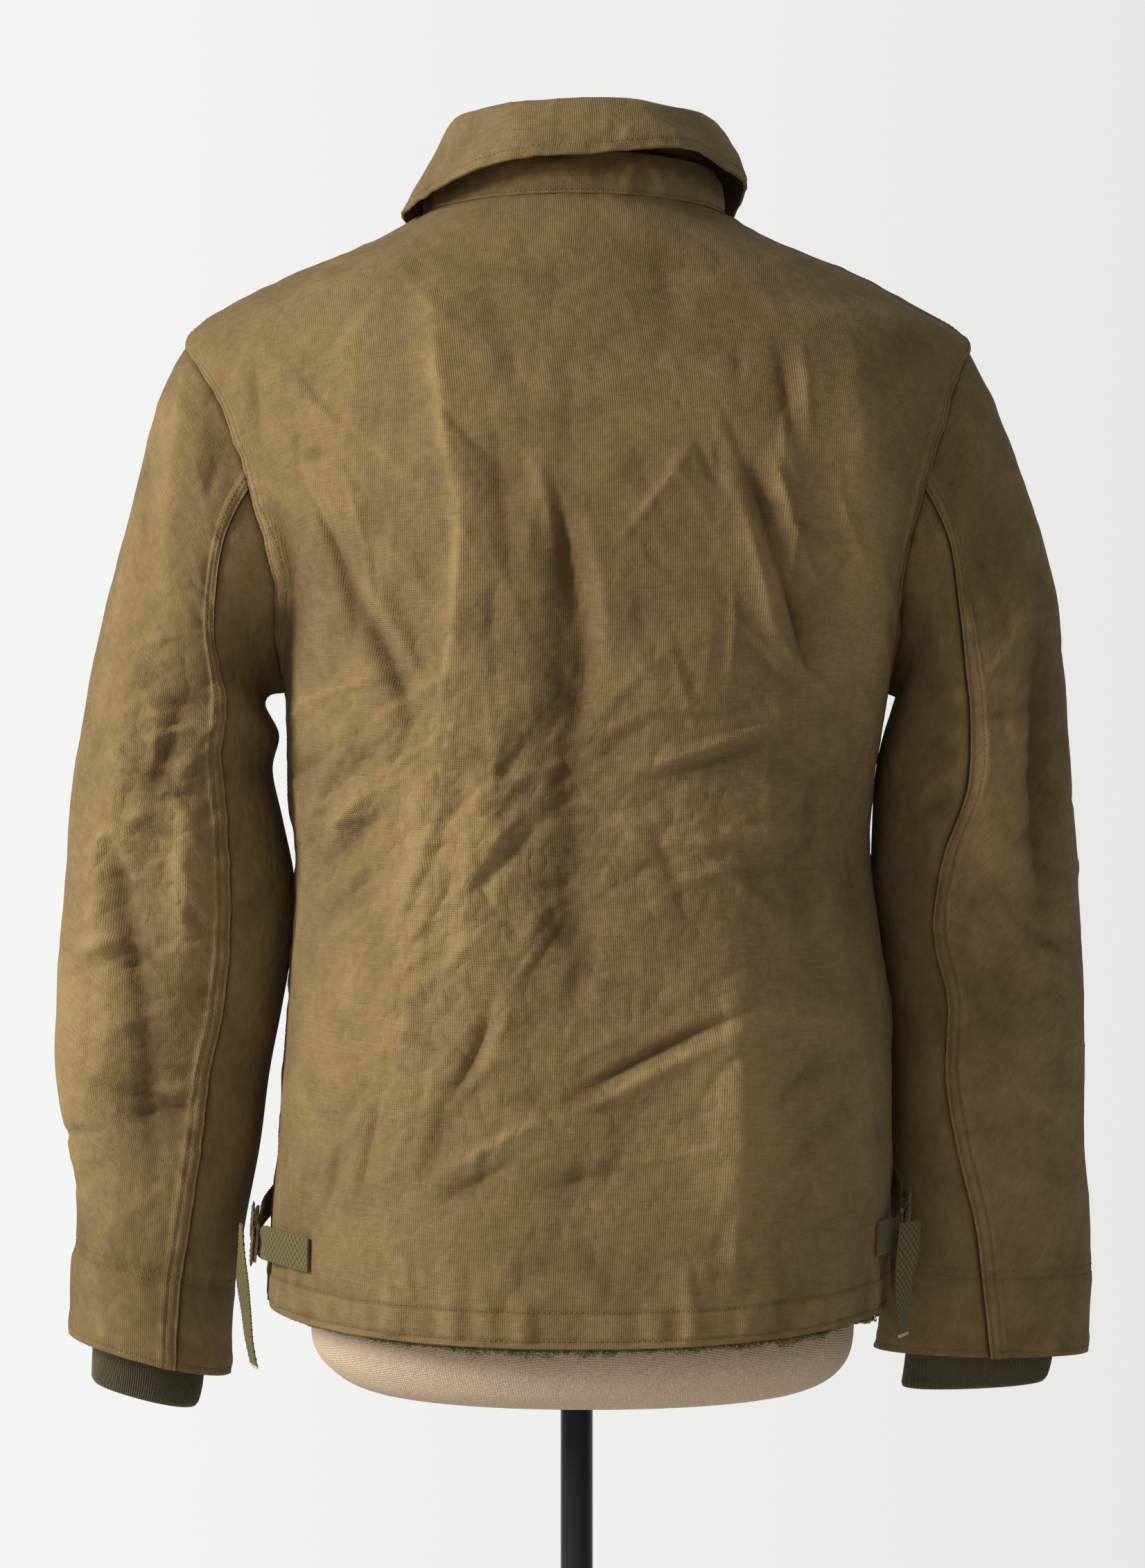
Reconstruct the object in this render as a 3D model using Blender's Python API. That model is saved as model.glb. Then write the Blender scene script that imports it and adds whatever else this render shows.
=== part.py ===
"""A blouson deck jacket on a limbless dress form and its stand, for Blender 4.5.

The floor is z = 0 and the pole stands on the z axis. +Y is the garment's front and +X the
wearer's right, so a view along +Y shows the back. Tables and sizes are in millimetres, and
add_mesh turns them into Blender's metres. Every cloth piece is a wall: outer points on the
garment's surface, inner points a cloth thickness behind them, and a rim that joins the two.
"""

import math

import bmesh
import bpy
import numpy as np

MM = 0.001

# Cloth and seams
WALL = 2.0            # thickness of the lined shell cloth
COLLAR_WALL = 2.3     # the collar's two layers
SEAM_GAP = 0.36       # between two pieces that are sewn together
NECK_GAP = 0.4        # added to it under the collar's stand
LAID_GAP = 0.3        # between a piece and the panel that it lies on
WEB_WIDTH = 20.0      # cotton webbing of the side straps
WEB_THICK = 1.4
PILE_THICK = 4.0      # pile lining at the hem
KNIT_WALL = 1.6

# Columns and rows of the cloth grids
BACK_COLUMNS = 20
FRONT_COLUMNS = 10
SLEEVE_COLUMNS = 12
ARMHOLE_STEPS = 6

# The jacket's body as rings, from the hem to the neck seam. Heights are given at the centre
# back, the side and the centre front, because the upper rings tilt down to the front.
TORSO_COLUMNS = ("z_back", "z_side", "z_front", "half_width", "y_back", "y_front", "y_mid", "x_mid", "power")
TORSO = (
    (815, 824, 824, 182.0, -146, 152, 8, 3.5, 2.30),   # hem edge
    (850, 858, 857, 182.5, -148, 153, 8, 4.5, 2.35),
    (920, 921, 920, 180.5, -150, 153, 8, 7.5, 2.40),
    (1000, 1000, 1000, 177.5, -150, 152, 8, 9.5, 2.40),
    (1080, 1080, 1080, 169.5, -147, 150, 8, 6.0, 2.40),
    (1130, 1130, 1130, 172.0, -146, 148, 7, 5.0, 2.40),
    (1184, 1184, 1184, 177.0, -147, 145, 6, 8.0, 2.40),  # underarm
    (1240, 1240, 1238, 189.0, -148, 138, 5, 9.0, 2.40),
    (1290, 1290, 1283, 207.0, -146, 130, 4, 8.5, 2.35),
    (1340, 1340, 1325, 221.0, -139, 120, 2, 8.0, 2.25),
    (1375, 1375, 1350, 229.0, -127, 111, 1, 4.5, 2.10),
    (1398, 1394, 1366, 227.0, -117, 104, 0, 2.0, 1.95),  # shoulder tip
    (1416, 1410, 1378, 202.5, -107, 98, 0, -1.0, 1.95),
    (1434, 1426, 1388, 173.0, -97, 92, 1, 0.5, 1.95),
    (1450, 1442, 1396, 134.5, -86, 86, 2, 1.5, 2.00),
    (1462, 1456, 1402, 104.0, -77, 82, 3, 1.0, 2.05),
    (1470, 1466, 1405, 88.0, -70, 79, 4, 0.5, 2.10),     # neck seam
)
UNDERARM_RING = 6
SHOULDER_RING = 11
NECK_RING = 16
BODY_ROWS = (0, 0.5, 1, 1.5, 2, 2.6, 3.2, 3.8, 4.4, 5, 5.5)
YOKE_ROWS = (11.8, 12.6, 13.4, 14.2, 15.1, 16)

# The armhole's edge, in degrees from the centre back, at rings 6 to 11
ARMHOLE_BACK = (92, 70, 65, 67.5, 75.5, 90)
ARMHOLE_FRONT = (92, 112, 116, 113, 105, 90)
ARMHOLE_MID_Z = 1289.0
ARMHOLE_HALF_Z = 105.0
SIDE_SEAM = 92.0
SLEEVE_SEAM_TOP = 83.0   # where the sleeve's two seams meet the armhole, in degrees from its top

# Each sleeve as rings, from the armhole to its hem, seen from the back: the ring's outer and
# inner point, its middle depth, its half depth, and where the back and front seams cross it.
SLEEVE_COLUMNS_NAMES = (
    "outer_x", "outer_z", "inner_x", "inner_z", "y_mid", "half_depth", "seam_back", "seam_front")
SLEEVE_LEFT = (
    (226, 1394, 169, 1184, 2, 72, 83, 277),
    (242, 1361, 179, 1183, -1, 77, 92, 266),
    (259, 1297, 182, 1175, 0, 80, 106, 256),
    (276, 1231, 174, 1159, 3, 80, 118, 250),
    (288, 1176, 178, 1138, 6, 78, 122, 248),
    (296, 1130, 172, 1108, 10, 75, 122, 247),
    (300, 1080, 165.5, 1073, 14, 72, 120, 246),
    (304, 1035, 166.5, 1038, 18, 69, 121, 246),
    (305, 998, 173, 999, 21, 66, 122, 246),
    (304, 959, 181, 958, 24, 62, 119, 246),
    (297, 914, 187, 914, 28, 57, 115, 246),
    (296, 878, 196, 868, 33, 53, 114, 246),
    (301, 839, 203, 822, 37, 51, 114, 246),
    (302, 801, 206, 776, 42, 49, 113, 246),
)
SLEEVE_RIGHT = (
    (229, 1393, 185, 1184, 2, 72, 83, 277),
    (246, 1359, 192, 1181, 0, 77, 88, 268),
    (265, 1311, 189, 1172, 3, 80, 95, 258),
    (283, 1256, 184, 1156, 8, 80, 98, 252),
    (290, 1208, 180, 1135, 12, 79, 96, 250),
    (294, 1160, 178.5, 1105, 16, 77, 98, 249),
    (298, 1112, 178.5, 1075, 22, 74, 112, 248),
    (302, 1062, 182.5, 1037, 28, 70, 121, 248),
    (305, 1014, 188.5, 997, 34, 65, 117, 248),
    (307, 966, 190, 953, 41, 60, 119, 248),
    (308, 916, 190, 908, 49, 55, 110, 248),
    (312, 872, 190, 868, 58, 49, 101, 248),
    (314, 828, 188, 827, 66, 44, 95, 248),
    (313.5, 785, 184, 787, 76, 41, 88, 248),
)
SLEEVE_HEM_RING = 13
SLEEVE_ROWS = (0, 0.6, 1.2, 1.8, 2.4, 3, 3.7, 4.4, 5.1, 5.8, 6.5, 7.3, 8.1, 9, 10, 10.8, 11.6, 12.3, 13)
ARMHOLE_FADE = 4.0       # rings over which the armhole's shape passes into plain ovals

# Folds: the two ends seen from the back, the bow of the line between them, the half width,
# and the depth, negative for a trough and positive for a ridge. Column "side" is -1 on the
# back and +1 on the front.
FOLD_COLUMNS = ("x_0", "z_0", "x_1", "z_1", "bow", "width", "depth", "side")
BODY_FOLDS = (
    (-80, 1390, -66, 1172, -6, 15, 6, -1),
    (-66, 1180, -96, 950, 10, 15, 6, -1),
    (-52, 1380, -42, 1180, -4, 15, -5, -1),
    (-12, 1300, 5, 1160, 8, 15, -10, -1),
    (100, 1318, 133, 1196, 6, 15, -10, -1),
    (138, 1385, 155, 1165, 6, 15, 6, -1),
    (-146, 1304, -120, 1212, -4, 15, -9, -1),
    (-128, 1262, -82, 1160, -4, 15, -10, -1),
    (-152, 1070, -96, 1118, 4, 15, -9, -1),
    (-52, 1066, -12, 1112, 2, 15, -9, -1),
    (-46, 1040, -84, 908, -14, 15, -10, -1),
    (92, 1002, -78, 898, -6, 15, -10, -1),
    (80, 968, -20, 915, -3, 15, 6, -1),
    (22, 1064, -6, 1012, 2, 15, -7.5, -1),
    (158, 970, 118, 922, 3, 15, -7.5, -1),
    (-110, 1330, -60, 1150, -8, 16, -9, 1),
    (112, 1320, 66, 1140, 8, 16, -9, 1),
    (-140, 1100, -70, 1010, 5, 15, -9, 1),
    (138, 1060, 72, 985, -5, 15, -9, 1),
    (-120, 960, -60, 900, 4, 15, -7.5, 1),
    (126, 945, 64, 880, -4, 15, -7.5, 1),
)
LEFT_SLEEVE_FOLDS = (
    (-224, 1372, -233, 1240, -4, 9, 4.5, -1),
    (-270, 1146, -236, 1030, -6, 13, 11, -1),
    (-272, 1100, -258, 1000, -4, 13, -9.5, -1),
    (-228, 1110, -228, 1030, -6, 12, -11, -1),
    (-206, 990, -174, 1024, 2, 11, 8, -1),
    (-262, 930, -230, 958, 3, 12, -8, -1),
    (-280, 1010, -220, 960, 4, 15, -8, 1),
    (-290, 1070, -225, 1040, 4, 15, -8, 1),
    (-280, 1250, -235, 1180, -4, 15, -7, 1),
)
RIGHT_SLEEVE_FOLDS = (
    (206, 1222, 224, 1176, 3, 10, -11, -1),
    (210, 1166, 238, 1170, -2, 10, -8, -1),
    (276, 1222, 250, 1050, -8, 16, 7, -1),
    (236, 1110, 216, 1075, -4, 12, -7, -1),
    (262, 1060, 284, 1018, 4, 14, -7, -1),
    (280, 1010, 230, 970, 4, 15, -8, 1),
    (290, 1080, 232, 1050, 4, 15, -8, 1),
    (280, 1250, 240, 1180, 4, 15, -7, 1),
)

# The collar as rings. The stand's rings are its outer face. The leaf's rings run up its neck
# side, over the fold and down to its edge, and are the face that lies inside the fold. "lift"
# raises the leaf and stands it off the stand on the wearer's right.
COLLAR_COLUMNS = (
    "z_back", "z_side", "z_front", "half_width", "y_back", "y_front", "x_mid", "lift", "open_front")
STAND = (
    (1470, 1466, 1405, 88.0, -70.0, 79.0, 0.5, 0, 176),
    (1482, 1479, 1413, 85.5, -71.5, 78.0, 0.7, 0, 176),
    (1494, 1491, 1422, 82.5, -72.0, 76.5, 1.0, 0, 176),
)
LEAF = (
    (1494, 1491, 1422, 80.0, -69.5, 74.0, 1.0, 0, 176),
    (1508, 1505, 1434, 76.0, -68.0, 72.5, 3.5, 0, 176),
    (1518, 1515, 1443, 73.0, -67.5, 72.0, 6.0, 0, 175),
    (1522, 1519, 1447, 75.0, -70.5, 75.0, 6.5, 0, 175),
    (1518.5, 1514.5, 1443.5, 79.0, -76.0, 80.0, 6.5, 1, 174),
    (1509, 1499, 1430, 86.0, -84.5, 89.0, 6.5, 4, 170),
    (1498, 1482, 1411, 93.5, -91.5, 98.0, 4.0, 10, 164),
    (1488, 1466, 1394, 99.0, -95.5, 106.0, 1.0, 15, 158),
)
LEFT_LIFT = -0.1
COLLAR_POWER = 2.1

# The dress form as rings, from its flat underside up. Its shoulders and neck base follow the
# inside of the jacket, which hangs on them.
FORM_COLUMNS = ("z_back", "z_front", "half_width", "y_back", "y_front", "y_mid", "x_mid", "power")
FORM_TORSO = (
    (771, 771, 104, -76, 90, 7, 9.0, 2.1),
    (775, 775, 132, -98, 112, 7, 8.5, 2.15),
    (785, 785, 150, -112, 126, 7, 8.0, 2.2),
    (803, 803, 160, -119, 133, 7, 6.0, 2.25),
    (840, 840, 159, -122, 136, 7, 6.0, 2.25),
    (900, 900, 154, -119, 130, 7, 5.0, 2.25),
    (980, 980, 139, -106, 114, 6, 5.0, 2.2),
    (1075, 1075, 141, -108, 115, 5, 4.5, 2.2),
    (1180, 1180, 155, -118, 124, 4, 4.0, 2.25),
    (1260, 1260, 164, -122, 121, 3, 3.5, 2.25),
    (1325, 1318, 174, -118, 107, 2, 3.0, 2.2),
    (1372, 1348, 183, -108, 94, 1, 2.0, 2.1),
    (1400, 1366, 183, -97, 84, 1, 1.0, 2.0),
)
FORM_NECK = (
    (1478, 1417, 75, -59, 67, 4, 0.5, 2.05),
    (1487, 1432, 66, -53, 59, 3, 0.5, 2.0),
    (1497, 1462, 62, -51, 55, 2, 0.5, 2.0),
    (1506, 1500, 61, -50, 54, 2, 0.5, 2.0),
)
FORM_SEAT_GAP = 0.45

# Stand. The tables above count x from a line beside the pole's axis, so they are moved over
POLE_RADIUS = 9.5
GARMENT_X = -2.5
BASE_PROFILE = ((0, 175), (7, 175), (9, 173), (14, 40), (20, 24), (36, 22), (38, 20))  # height, radius
BASE_SIDES = 40
POLE_SIDES = 20

# The front fly that covers the closure
FLY_HALF_WIDTH = 27.0
FLY_X = 6.0
FLY_COLUMNS = 3

# Knit cuffs: ring of the sleeve, share of the sleeve's size, and share of the drop and shift
CUFF_COLUMNS = ("ring", "size", "lowered")
CUFF = ((11.6, 1.0, 0), (11.95, 0.86, 0.1), (12.3, 0.76, 0.2), (13.0, 0.71, 0.4), (13.0, 0.695, 1.0))
CUFF_DROP = {-1: 24.0, 1: 21.0}     # how far the cuff's edge lies below the sleeve's hem
CUFF_SHIFT = {-1: -3.5, 1: -5.0}    # along x
CUFF_TILT = {-1: 0.0, 1: 2.5}       # rise of its outer side

# Pile lining at the hem: the body's rings that it lies behind, and its drop below the hem
LINING_ROWS = (0, 0.5, 1, 1.5)
LINING_DROP = 5.0

# Side straps, for the left and the right: where the back strap is sewn, in degrees from the
# centre back, where the buckle hangs, and how far it stands off the cloth
STRAP_COLUMNS = ("end_angle", "end_z", "buckle_angle", "buckle_z", "buckle_out")
STRAPS = {-1: (55, 865, 83, 867, 9.5), 1: (66, 871, 81, 879, 8.5)}
# The back strap's loose tail, from the buckle down, and its turn away from the side view
TAIL_COLUMNS = ("x", "y", "z", "turn")
TAILS = {
    -1: ((-192.9, -24, 872, 8), (-193.2, -23, 856, 14), (-193.3, -21, 838, 24), (-191.5, -19, 819, 20),
         (-190, -17, 803, 17), (-187, -15, 787, 15)),
    1: ((196, -47, 876, 42), (194.5, -46, 857, 44), (192.5, -42, 838, 34), (192.5, -38, 820, 24),
        (193, -35, 808, 20)),
}
BUCKLE_HALF_LENGTH = 9.0
BUCKLE_HALF_WIDTH = 13.5
BUCKLE_BAR = 2.0
BUCKLE_THICK = 1.6
BUCKLE_BOW = 1.6

COLOURS = {  # linear red, green, blue, then roughness and metallic
    "canvas": ((0.142, 0.108, 0.046), 0.9, 0.0),
    "pile": ((0.12, 0.12, 0.02), 1.0, 0.0),
    "knit": ((0.035, 0.028, 0.014), 0.95, 0.0),
    "webbing": ((0.13, 0.115, 0.045), 0.9, 0.0),
    "linen": ((0.52, 0.42, 0.31), 0.9, 0.0),
    "buckle": ((0.09, 0.05, 0.03), 0.4, 0.9),
    "black_steel": ((0.012, 0.013, 0.015), 0.45, 0.6),
}


# Reading the tables

def along(table, position):
    """Rows of a table at fractional row numbers, on a smooth curve through its rows."""
    rows = np.asarray(table, float)
    position = np.clip(np.asarray(position, float), 0, len(rows) - 1)
    start = np.minimum(position.astype(int), len(rows) - 2)
    f = (position - start)[..., None]
    p0 = rows[np.maximum(start - 1, 0)]
    p1 = rows[start]
    p2 = rows[start + 1]
    p3 = rows[np.minimum(start + 2, len(rows) - 1)]
    return p1 + f * ((p2 - p0) / 2 + f * (p0 - 2.5 * p1 + 2 * p2 - p3 / 2 + f * (1.5 * (p1 - p2) + (p3 - p0) / 2)))


def oval(angle, half_width, y_back, y_front, y_mid, x_mid, power):
    """x and y on a squared oval. The angle is in degrees from the centre back towards +X."""
    turn = np.radians(angle)
    c, s = np.cos(turn), np.sin(turn)
    x = x_mid + half_width * np.sign(s) * np.abs(s) ** (2 / power)
    reach = np.where(c > 0, y_back - y_mid, y_front - y_mid)
    return x, y_mid + reach * np.abs(c) ** (2 / power)


def tilted(angle, z_back, z_side, z_front):
    """Height round a ring whose back, sides and front stand at different heights."""
    c = np.cos(np.radians(angle))
    return z_side + np.where(c > 0, z_back - z_side, z_front - z_side) * c * c


def torso(ring, angle):
    """The body's smooth outer surface."""
    ring, angle = np.broadcast_arrays(np.asarray(ring, float), np.asarray(angle, float))
    z_back, z_side, z_front, half_width, y_back, y_front, y_mid, x_mid, power = np.moveaxis(along(TORSO, ring), -1, 0)
    x, y = oval(angle, half_width, y_back, y_front, y_mid, x_mid, power)
    return np.stack([x, y, tilted(angle, z_back, z_side, z_front)], -1)


def armhole(side, turn):
    """The armhole's edge. turn is in degrees from the shoulder tip, back first, then up the front."""
    turn = np.asarray(turn, float) % 360
    height = ARMHOLE_MID_Z + ARMHOLE_HALF_Z * np.cos(np.radians(turn))
    heights = [row[1] for row in TORSO[UNDERARM_RING:SHOULDER_RING + 1]]
    rings = np.interp(height, heights, range(UNDERARM_RING, SHOULDER_RING + 1))
    edge_back = along(np.array(ARMHOLE_BACK, float)[:, None], rings - UNDERARM_RING)[..., 0]
    edge_front = along(np.array(ARMHOLE_FRONT, float)[:, None], rings - UNDERARM_RING)[..., 0]
    return rings, side * np.where(turn <= 180, edge_back, edge_front)


def sleeve(side, ring, turn):
    """A sleeve's smooth outer surface. turn is in degrees from its outer line, back first."""
    ring, turn = np.broadcast_arrays(np.asarray(ring, float), np.asarray(turn, float))
    table = SLEEVE_LEFT if side < 0 else SLEEVE_RIGHT

    def plain(at):
        outer_x, outer_z, inner_x, inner_z, y_mid, half_depth = np.moveaxis(along(table, at), -1, 0)[:6]
        c, s = np.cos(np.radians(turn)), np.sin(np.radians(turn))
        x = (outer_x + inner_x) / 2 + (outer_x - inner_x) / 2 * c
        z = (outer_z + inner_z) / 2 + (outer_z - inner_z) / 2 * c
        return np.stack([side * x, y_mid - half_depth * s, z], -1)

    edge = torso(*armhole(side, turn))
    fade = np.clip(1 - ring / ARMHOLE_FADE, 0, 1)[..., None] ** 2
    return plain(ring) + fade * (edge - plain(np.zeros_like(ring)))


def normals(surface, u, v, du=0.01, dv=0.3):
    """Unit normals of surface(u, v), pointing out of the garment."""
    along_u = surface(u + du, v) - surface(u - du, v)
    along_v = surface(u, v + dv) - surface(u, v - dv)
    n = np.cross(along_v, along_u)
    return n / np.linalg.norm(n, axis=-1, keepdims=True)


# Folds

def fold_height(points, facing, folds):
    """How far folds lift or sink the surface. facing is the y of the normals."""
    total = np.zeros(points.shape[:-1])
    for x_0, z_0, x_1, z_1, bow, width, depth, side in folds:
        run = math.hypot(x_1 - x_0, z_1 - z_0)
        ux, uz = (x_1 - x_0) / run, (z_1 - z_0) / run
        t = ((points[..., 0] - x_0) * ux + (points[..., 2] - z_0) * uz) / run
        across = (points[..., 0] - x_0) * -uz + (points[..., 2] - z_0) * ux
        across = across - bow * np.sin(np.pi * np.clip(t, 0, 1))
        ends = np.clip(np.minimum(t, 1 - t) * 4 + 0.35, 0, 1)
        ends = ends * ends * (3 - 2 * ends)
        seen = np.clip(facing * side * 2.2, 0, 1)
        total += depth * np.exp(-((across / width) ** 2)) * ends * seen
    return total


def ease(distance, reach):
    """0 at a piece's edge, 1 beyond reach."""
    t = np.clip(distance / reach, 0, 1)
    return t * t * (3 - 2 * t)


# Walls

def pulled_in(grid, amount):
    """Moves a grid's four edges towards the inside by amount, to leave a seam's gap."""
    out = grid.copy()
    for edge, inside in (((0,), (1,)), ((-1,), (-2,)), ((slice(None), 0), (slice(None), 1)), ((slice(None), -1), (slice(None), -2))):
        step = grid[inside] - grid[edge]
        out[edge] += amount * step / np.linalg.norm(step, axis=-1, keepdims=True)
    return out


def wall(outer, outward, thickness, gap=SEAM_GAP / 2):
    """The outer and inner grids of a cloth wall, with a seam's gap at its edges."""
    shift = pulled_in(outer, gap) - outer
    return outer + shift, outer - thickness * outward + shift


def split_square(a, b, c, d):
    """Two triangles of a grid's square, always cut the same way, so that laid pieces match."""
    return [(a, b, c), (a, c, d)]


def split_rim(points, a, b, c, d):
    """Two triangles of a rim's square, cut at its shorter diagonal, so that sewn edges match."""
    if np.linalg.norm(points[a] - points[c]) < np.linalg.norm(points[b] - points[d]):
        return [(a, b, c), (a, c, d)]
    return [(a, b, d), (b, c, d)]


def grid_solid(name, outer, inner, colour, ring=False):
    """A closed solid between two grids of points. A ring's columns run all the way round."""
    rows, columns = outer.shape[:2]
    count = rows * columns
    points = np.concatenate([outer.reshape(-1, 3), inner.reshape(-1, 3)])
    faces = []
    last = columns if ring else columns - 1
    for i in range(rows - 1):
        for j in range(last):
            k = (j + 1) % columns
            a, b, c, d = i * columns + j, i * columns + k, (i + 1) * columns + k, (i + 1) * columns + j
            faces += split_square(a, b, c, d)
            faces += [face[::-1] for face in split_square(count + a, count + b, count + c, count + d)]
    edges = [(j, (j + 1) % columns) for j in range(last)]
    top = (rows - 1) * columns
    edges += [(top + k, top + j) for j, k in edges]
    if not ring:
        edges += [((i + 1) * columns, i * columns) for i in range(rows - 1)]
        edges += [((i + 1) * columns - 1, (i + 2) * columns - 1) for i in range(rows - 1)]
    for a, b in edges:
        faces += split_rim(points, b, a, count + a, count + b)
    return add_mesh(name, points, faces, colour)


def add_mesh(name, points, faces, colour):
    """One named object from points in millimetres, with its material and smooth shading."""
    mesh = bpy.data.meshes.new(name)
    points = np.asarray(points) + (0 if name.startswith("stand") else GARMENT_X, 0, 0)
    mesh.from_pydata((points * MM).tolist(), [], faces)
    mesh.validate()
    shell = bmesh.new()
    shell.from_mesh(mesh)
    bmesh.ops.recalc_face_normals(shell, faces=shell.faces)
    shell.to_mesh(mesh)
    shell.free()
    mesh.shade_smooth()
    mesh.set_sharp_from_angle(angle=math.radians(50))
    mesh.materials.append(material(colour))
    obj = bpy.data.objects.new(name, mesh)
    bpy.context.scene.collection.objects.link(obj)
    return obj


def material(name):
    """The named Principled material, made once."""
    if name in bpy.data.materials:
        return bpy.data.materials[name]
    colour, roughness, metallic = COLOURS[name]
    made = bpy.data.materials.new(name)
    made.use_nodes = True
    shader = made.node_tree.nodes["Principled BSDF"]
    shader.inputs["Base Color"].default_value = (*colour, 1)
    shader.inputs["Roughness"].default_value = roughness
    shader.inputs["Metallic"].default_value = metallic
    return made


# The jacket's body

def armhole_turns():
    """The armhole's sample angles from its top down the back, with one on the sleeve's seam."""
    upper = np.linspace(0, SLEEVE_SEAM_TOP, ARMHOLE_STEPS + 1)
    lower = np.linspace(SLEEVE_SEAM_TOP, 180, ARMHOLE_STEPS + 1)
    return np.concatenate([upper, lower[1:]])


def body_rows():
    """Ring numbers of the body panels' rows. Those beside the armhole fall on its samples."""
    beside = armhole(1, armhole_turns())[0][::-1]
    return np.concatenate([BODY_ROWS, beside, YOKE_ROWS])


def panel_edge(rows, armhole_edge):
    """The side edge of a body panel, in degrees: side seam, armhole, then shoulder seam."""
    inside = along(np.array(armhole_edge, float)[:, None], rows - UNDERARM_RING)[:, 0]
    return np.where(rows <= UNDERARM_RING, SIDE_SEAM, np.where(rows >= SHOULDER_RING, 90.0, inside))


def mitred(first, second):
    """The direction shared by two walls that meet in a seam, longer where they meet at an angle."""
    middle = first + second
    half = np.linalg.norm(middle, axis=-1, keepdims=True) / 2
    return middle / (2 * half) / np.clip(half, 0.75, 1)


def armhole_normals(side, turns):
    """Directions shared by the body and the sleeve along the armhole."""
    rings, angles = armhole(side, turns)
    arm = normals(lambda q, a: sleeve(side, q, a), np.full_like(turns, 0.05), turns, du=0.04) * side
    return mitred(normals(torso, rings, angles), arm)


def neck_normals(angles):
    """Directions shared by the body and the collar's stand along the neck seam."""
    body = normals(torso, np.full_like(angles, NECK_RING - 0.02), angles)
    return mitred(body, normals(lambda q, a: collar(STAND, q, a), np.full_like(angles, 0.02), angles))


def body_lift(points, outward, rings, share):
    """The folds' height on a body panel. share runs from 0 to 1 across it, and its edges stay flat."""
    from_edge = ease(np.minimum(share, 1 - share), 0.12)
    return fold_height(points, outward[..., 1], BODY_FOLDS) * from_edge * ease(13.0 - rings, 1.2)


def body_panel(name, angle_from, angle_to, columns, left_edge, right_edge):
    """A body panel between two edges. An edge on an armhole names its side and half."""
    rows = body_rows()
    share = np.linspace(0, 1, columns + 1)
    angles = angle_from(rows)[:, None] * (1 - share) + angle_to(rows)[:, None] * share
    rings = np.broadcast_to(rows[:, None], angles.shape)
    points = torso(rings, angles)
    outward = normals(torso, rings, angles)
    lift = body_lift(points, outward, rings, share)
    beside = (rows > UNDERARM_RING - 1e-6) & (rows < SHOULDER_RING + 1e-6)
    for column, edge in ((0, left_edge), (-1, right_edge)):
        if edge:
            side, half = edge
            turns = armhole_turns()[::-1] if half == "back" else 360 - armhole_turns()[::-1]
            outward[beside, column] = armhole_normals(side, turns)
    outward[-1] = neck_normals(angles[-1])
    outer, inner = wall(points + lift[..., None] * outward, outward, WALL)
    grid_solid(name, outer, inner, "canvas")


def build_body():
    """Back, two fronts, and the fly that covers where the fronts meet."""
    back = lambda rows: panel_edge(rows, ARMHOLE_BACK)
    front = lambda rows: panel_edge(rows, ARMHOLE_FRONT)
    middle = lambda rows: np.full_like(rows, 180.0)
    body_panel("back_panel", lambda rows: -back(rows), back, BACK_COLUMNS, (-1, "back"), (1, "back"))
    body_panel("front_right", front, middle, FRONT_COLUMNS, (1, "front"), None)
    body_panel("front_left", lambda rows: -middle(rows), lambda rows: -front(rows), FRONT_COLUMNS, None, (-1, "front"))


def build_fly():
    """The fly strip, made from the fronts' own points and moved out over them."""
    rows = body_rows()
    offsets = FLY_X + FLY_HALF_WIDTH * np.linspace(1, -1, FLY_COLUMNS + 1)
    grid, outward = [], []
    for row in rows:
        half_width, x_mid, power = along(TORSO, row)[[3, 7, 8]]
        share = np.clip((offsets - x_mid) / half_width, -1, 1)
        angles = 180 - np.sign(share) * np.degrees(np.arcsin(np.abs(share) ** (power / 2)))
        grid.append(torso(row, angles))
        outward.append(normals(torso, np.full_like(angles, row), angles))
    grid, outward = np.array(grid), np.array(outward)
    grid = grid + (WALL + LAID_GAP + 0.1) * outward
    outer, inner = wall(grid[:-1], outward[:-1], WALL)
    grid_solid("front_fly", outer, inner, "canvas")


# Sleeves

def sleeve_folds(side):
    return LEFT_SLEEVE_FOLDS if side < 0 else RIGHT_SLEEVE_FOLDS


def sleeve_angles(side, rows):
    """The columns of the upper and the under sleeve at each row, with the armhole's at its top."""
    table = SLEEVE_LEFT if side < 0 else SLEEVE_RIGHT
    seam_back, seam_front = along(table, rows)[:, 6], along(table, rows)[:, 7]
    turns = armhole_turns()
    top = np.concatenate([-turns[ARMHOLE_STEPS::-1], turns[1:ARMHOLE_STEPS + 1]])
    under = np.concatenate([turns[ARMHOLE_STEPS:], 360 - turns[-2:ARMHOLE_STEPS - 1:-1]])
    made = []
    for first, low, high in ((top, seam_front - 360, seam_back), (under, seam_back, seam_front)):
        share = (first - first[0]) / (first[-1] - first[0])
        angles = low[:, None] + (high - low)[:, None] * share
        angles[rows == 0] = first
        made.append(angles)
    return made


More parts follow.
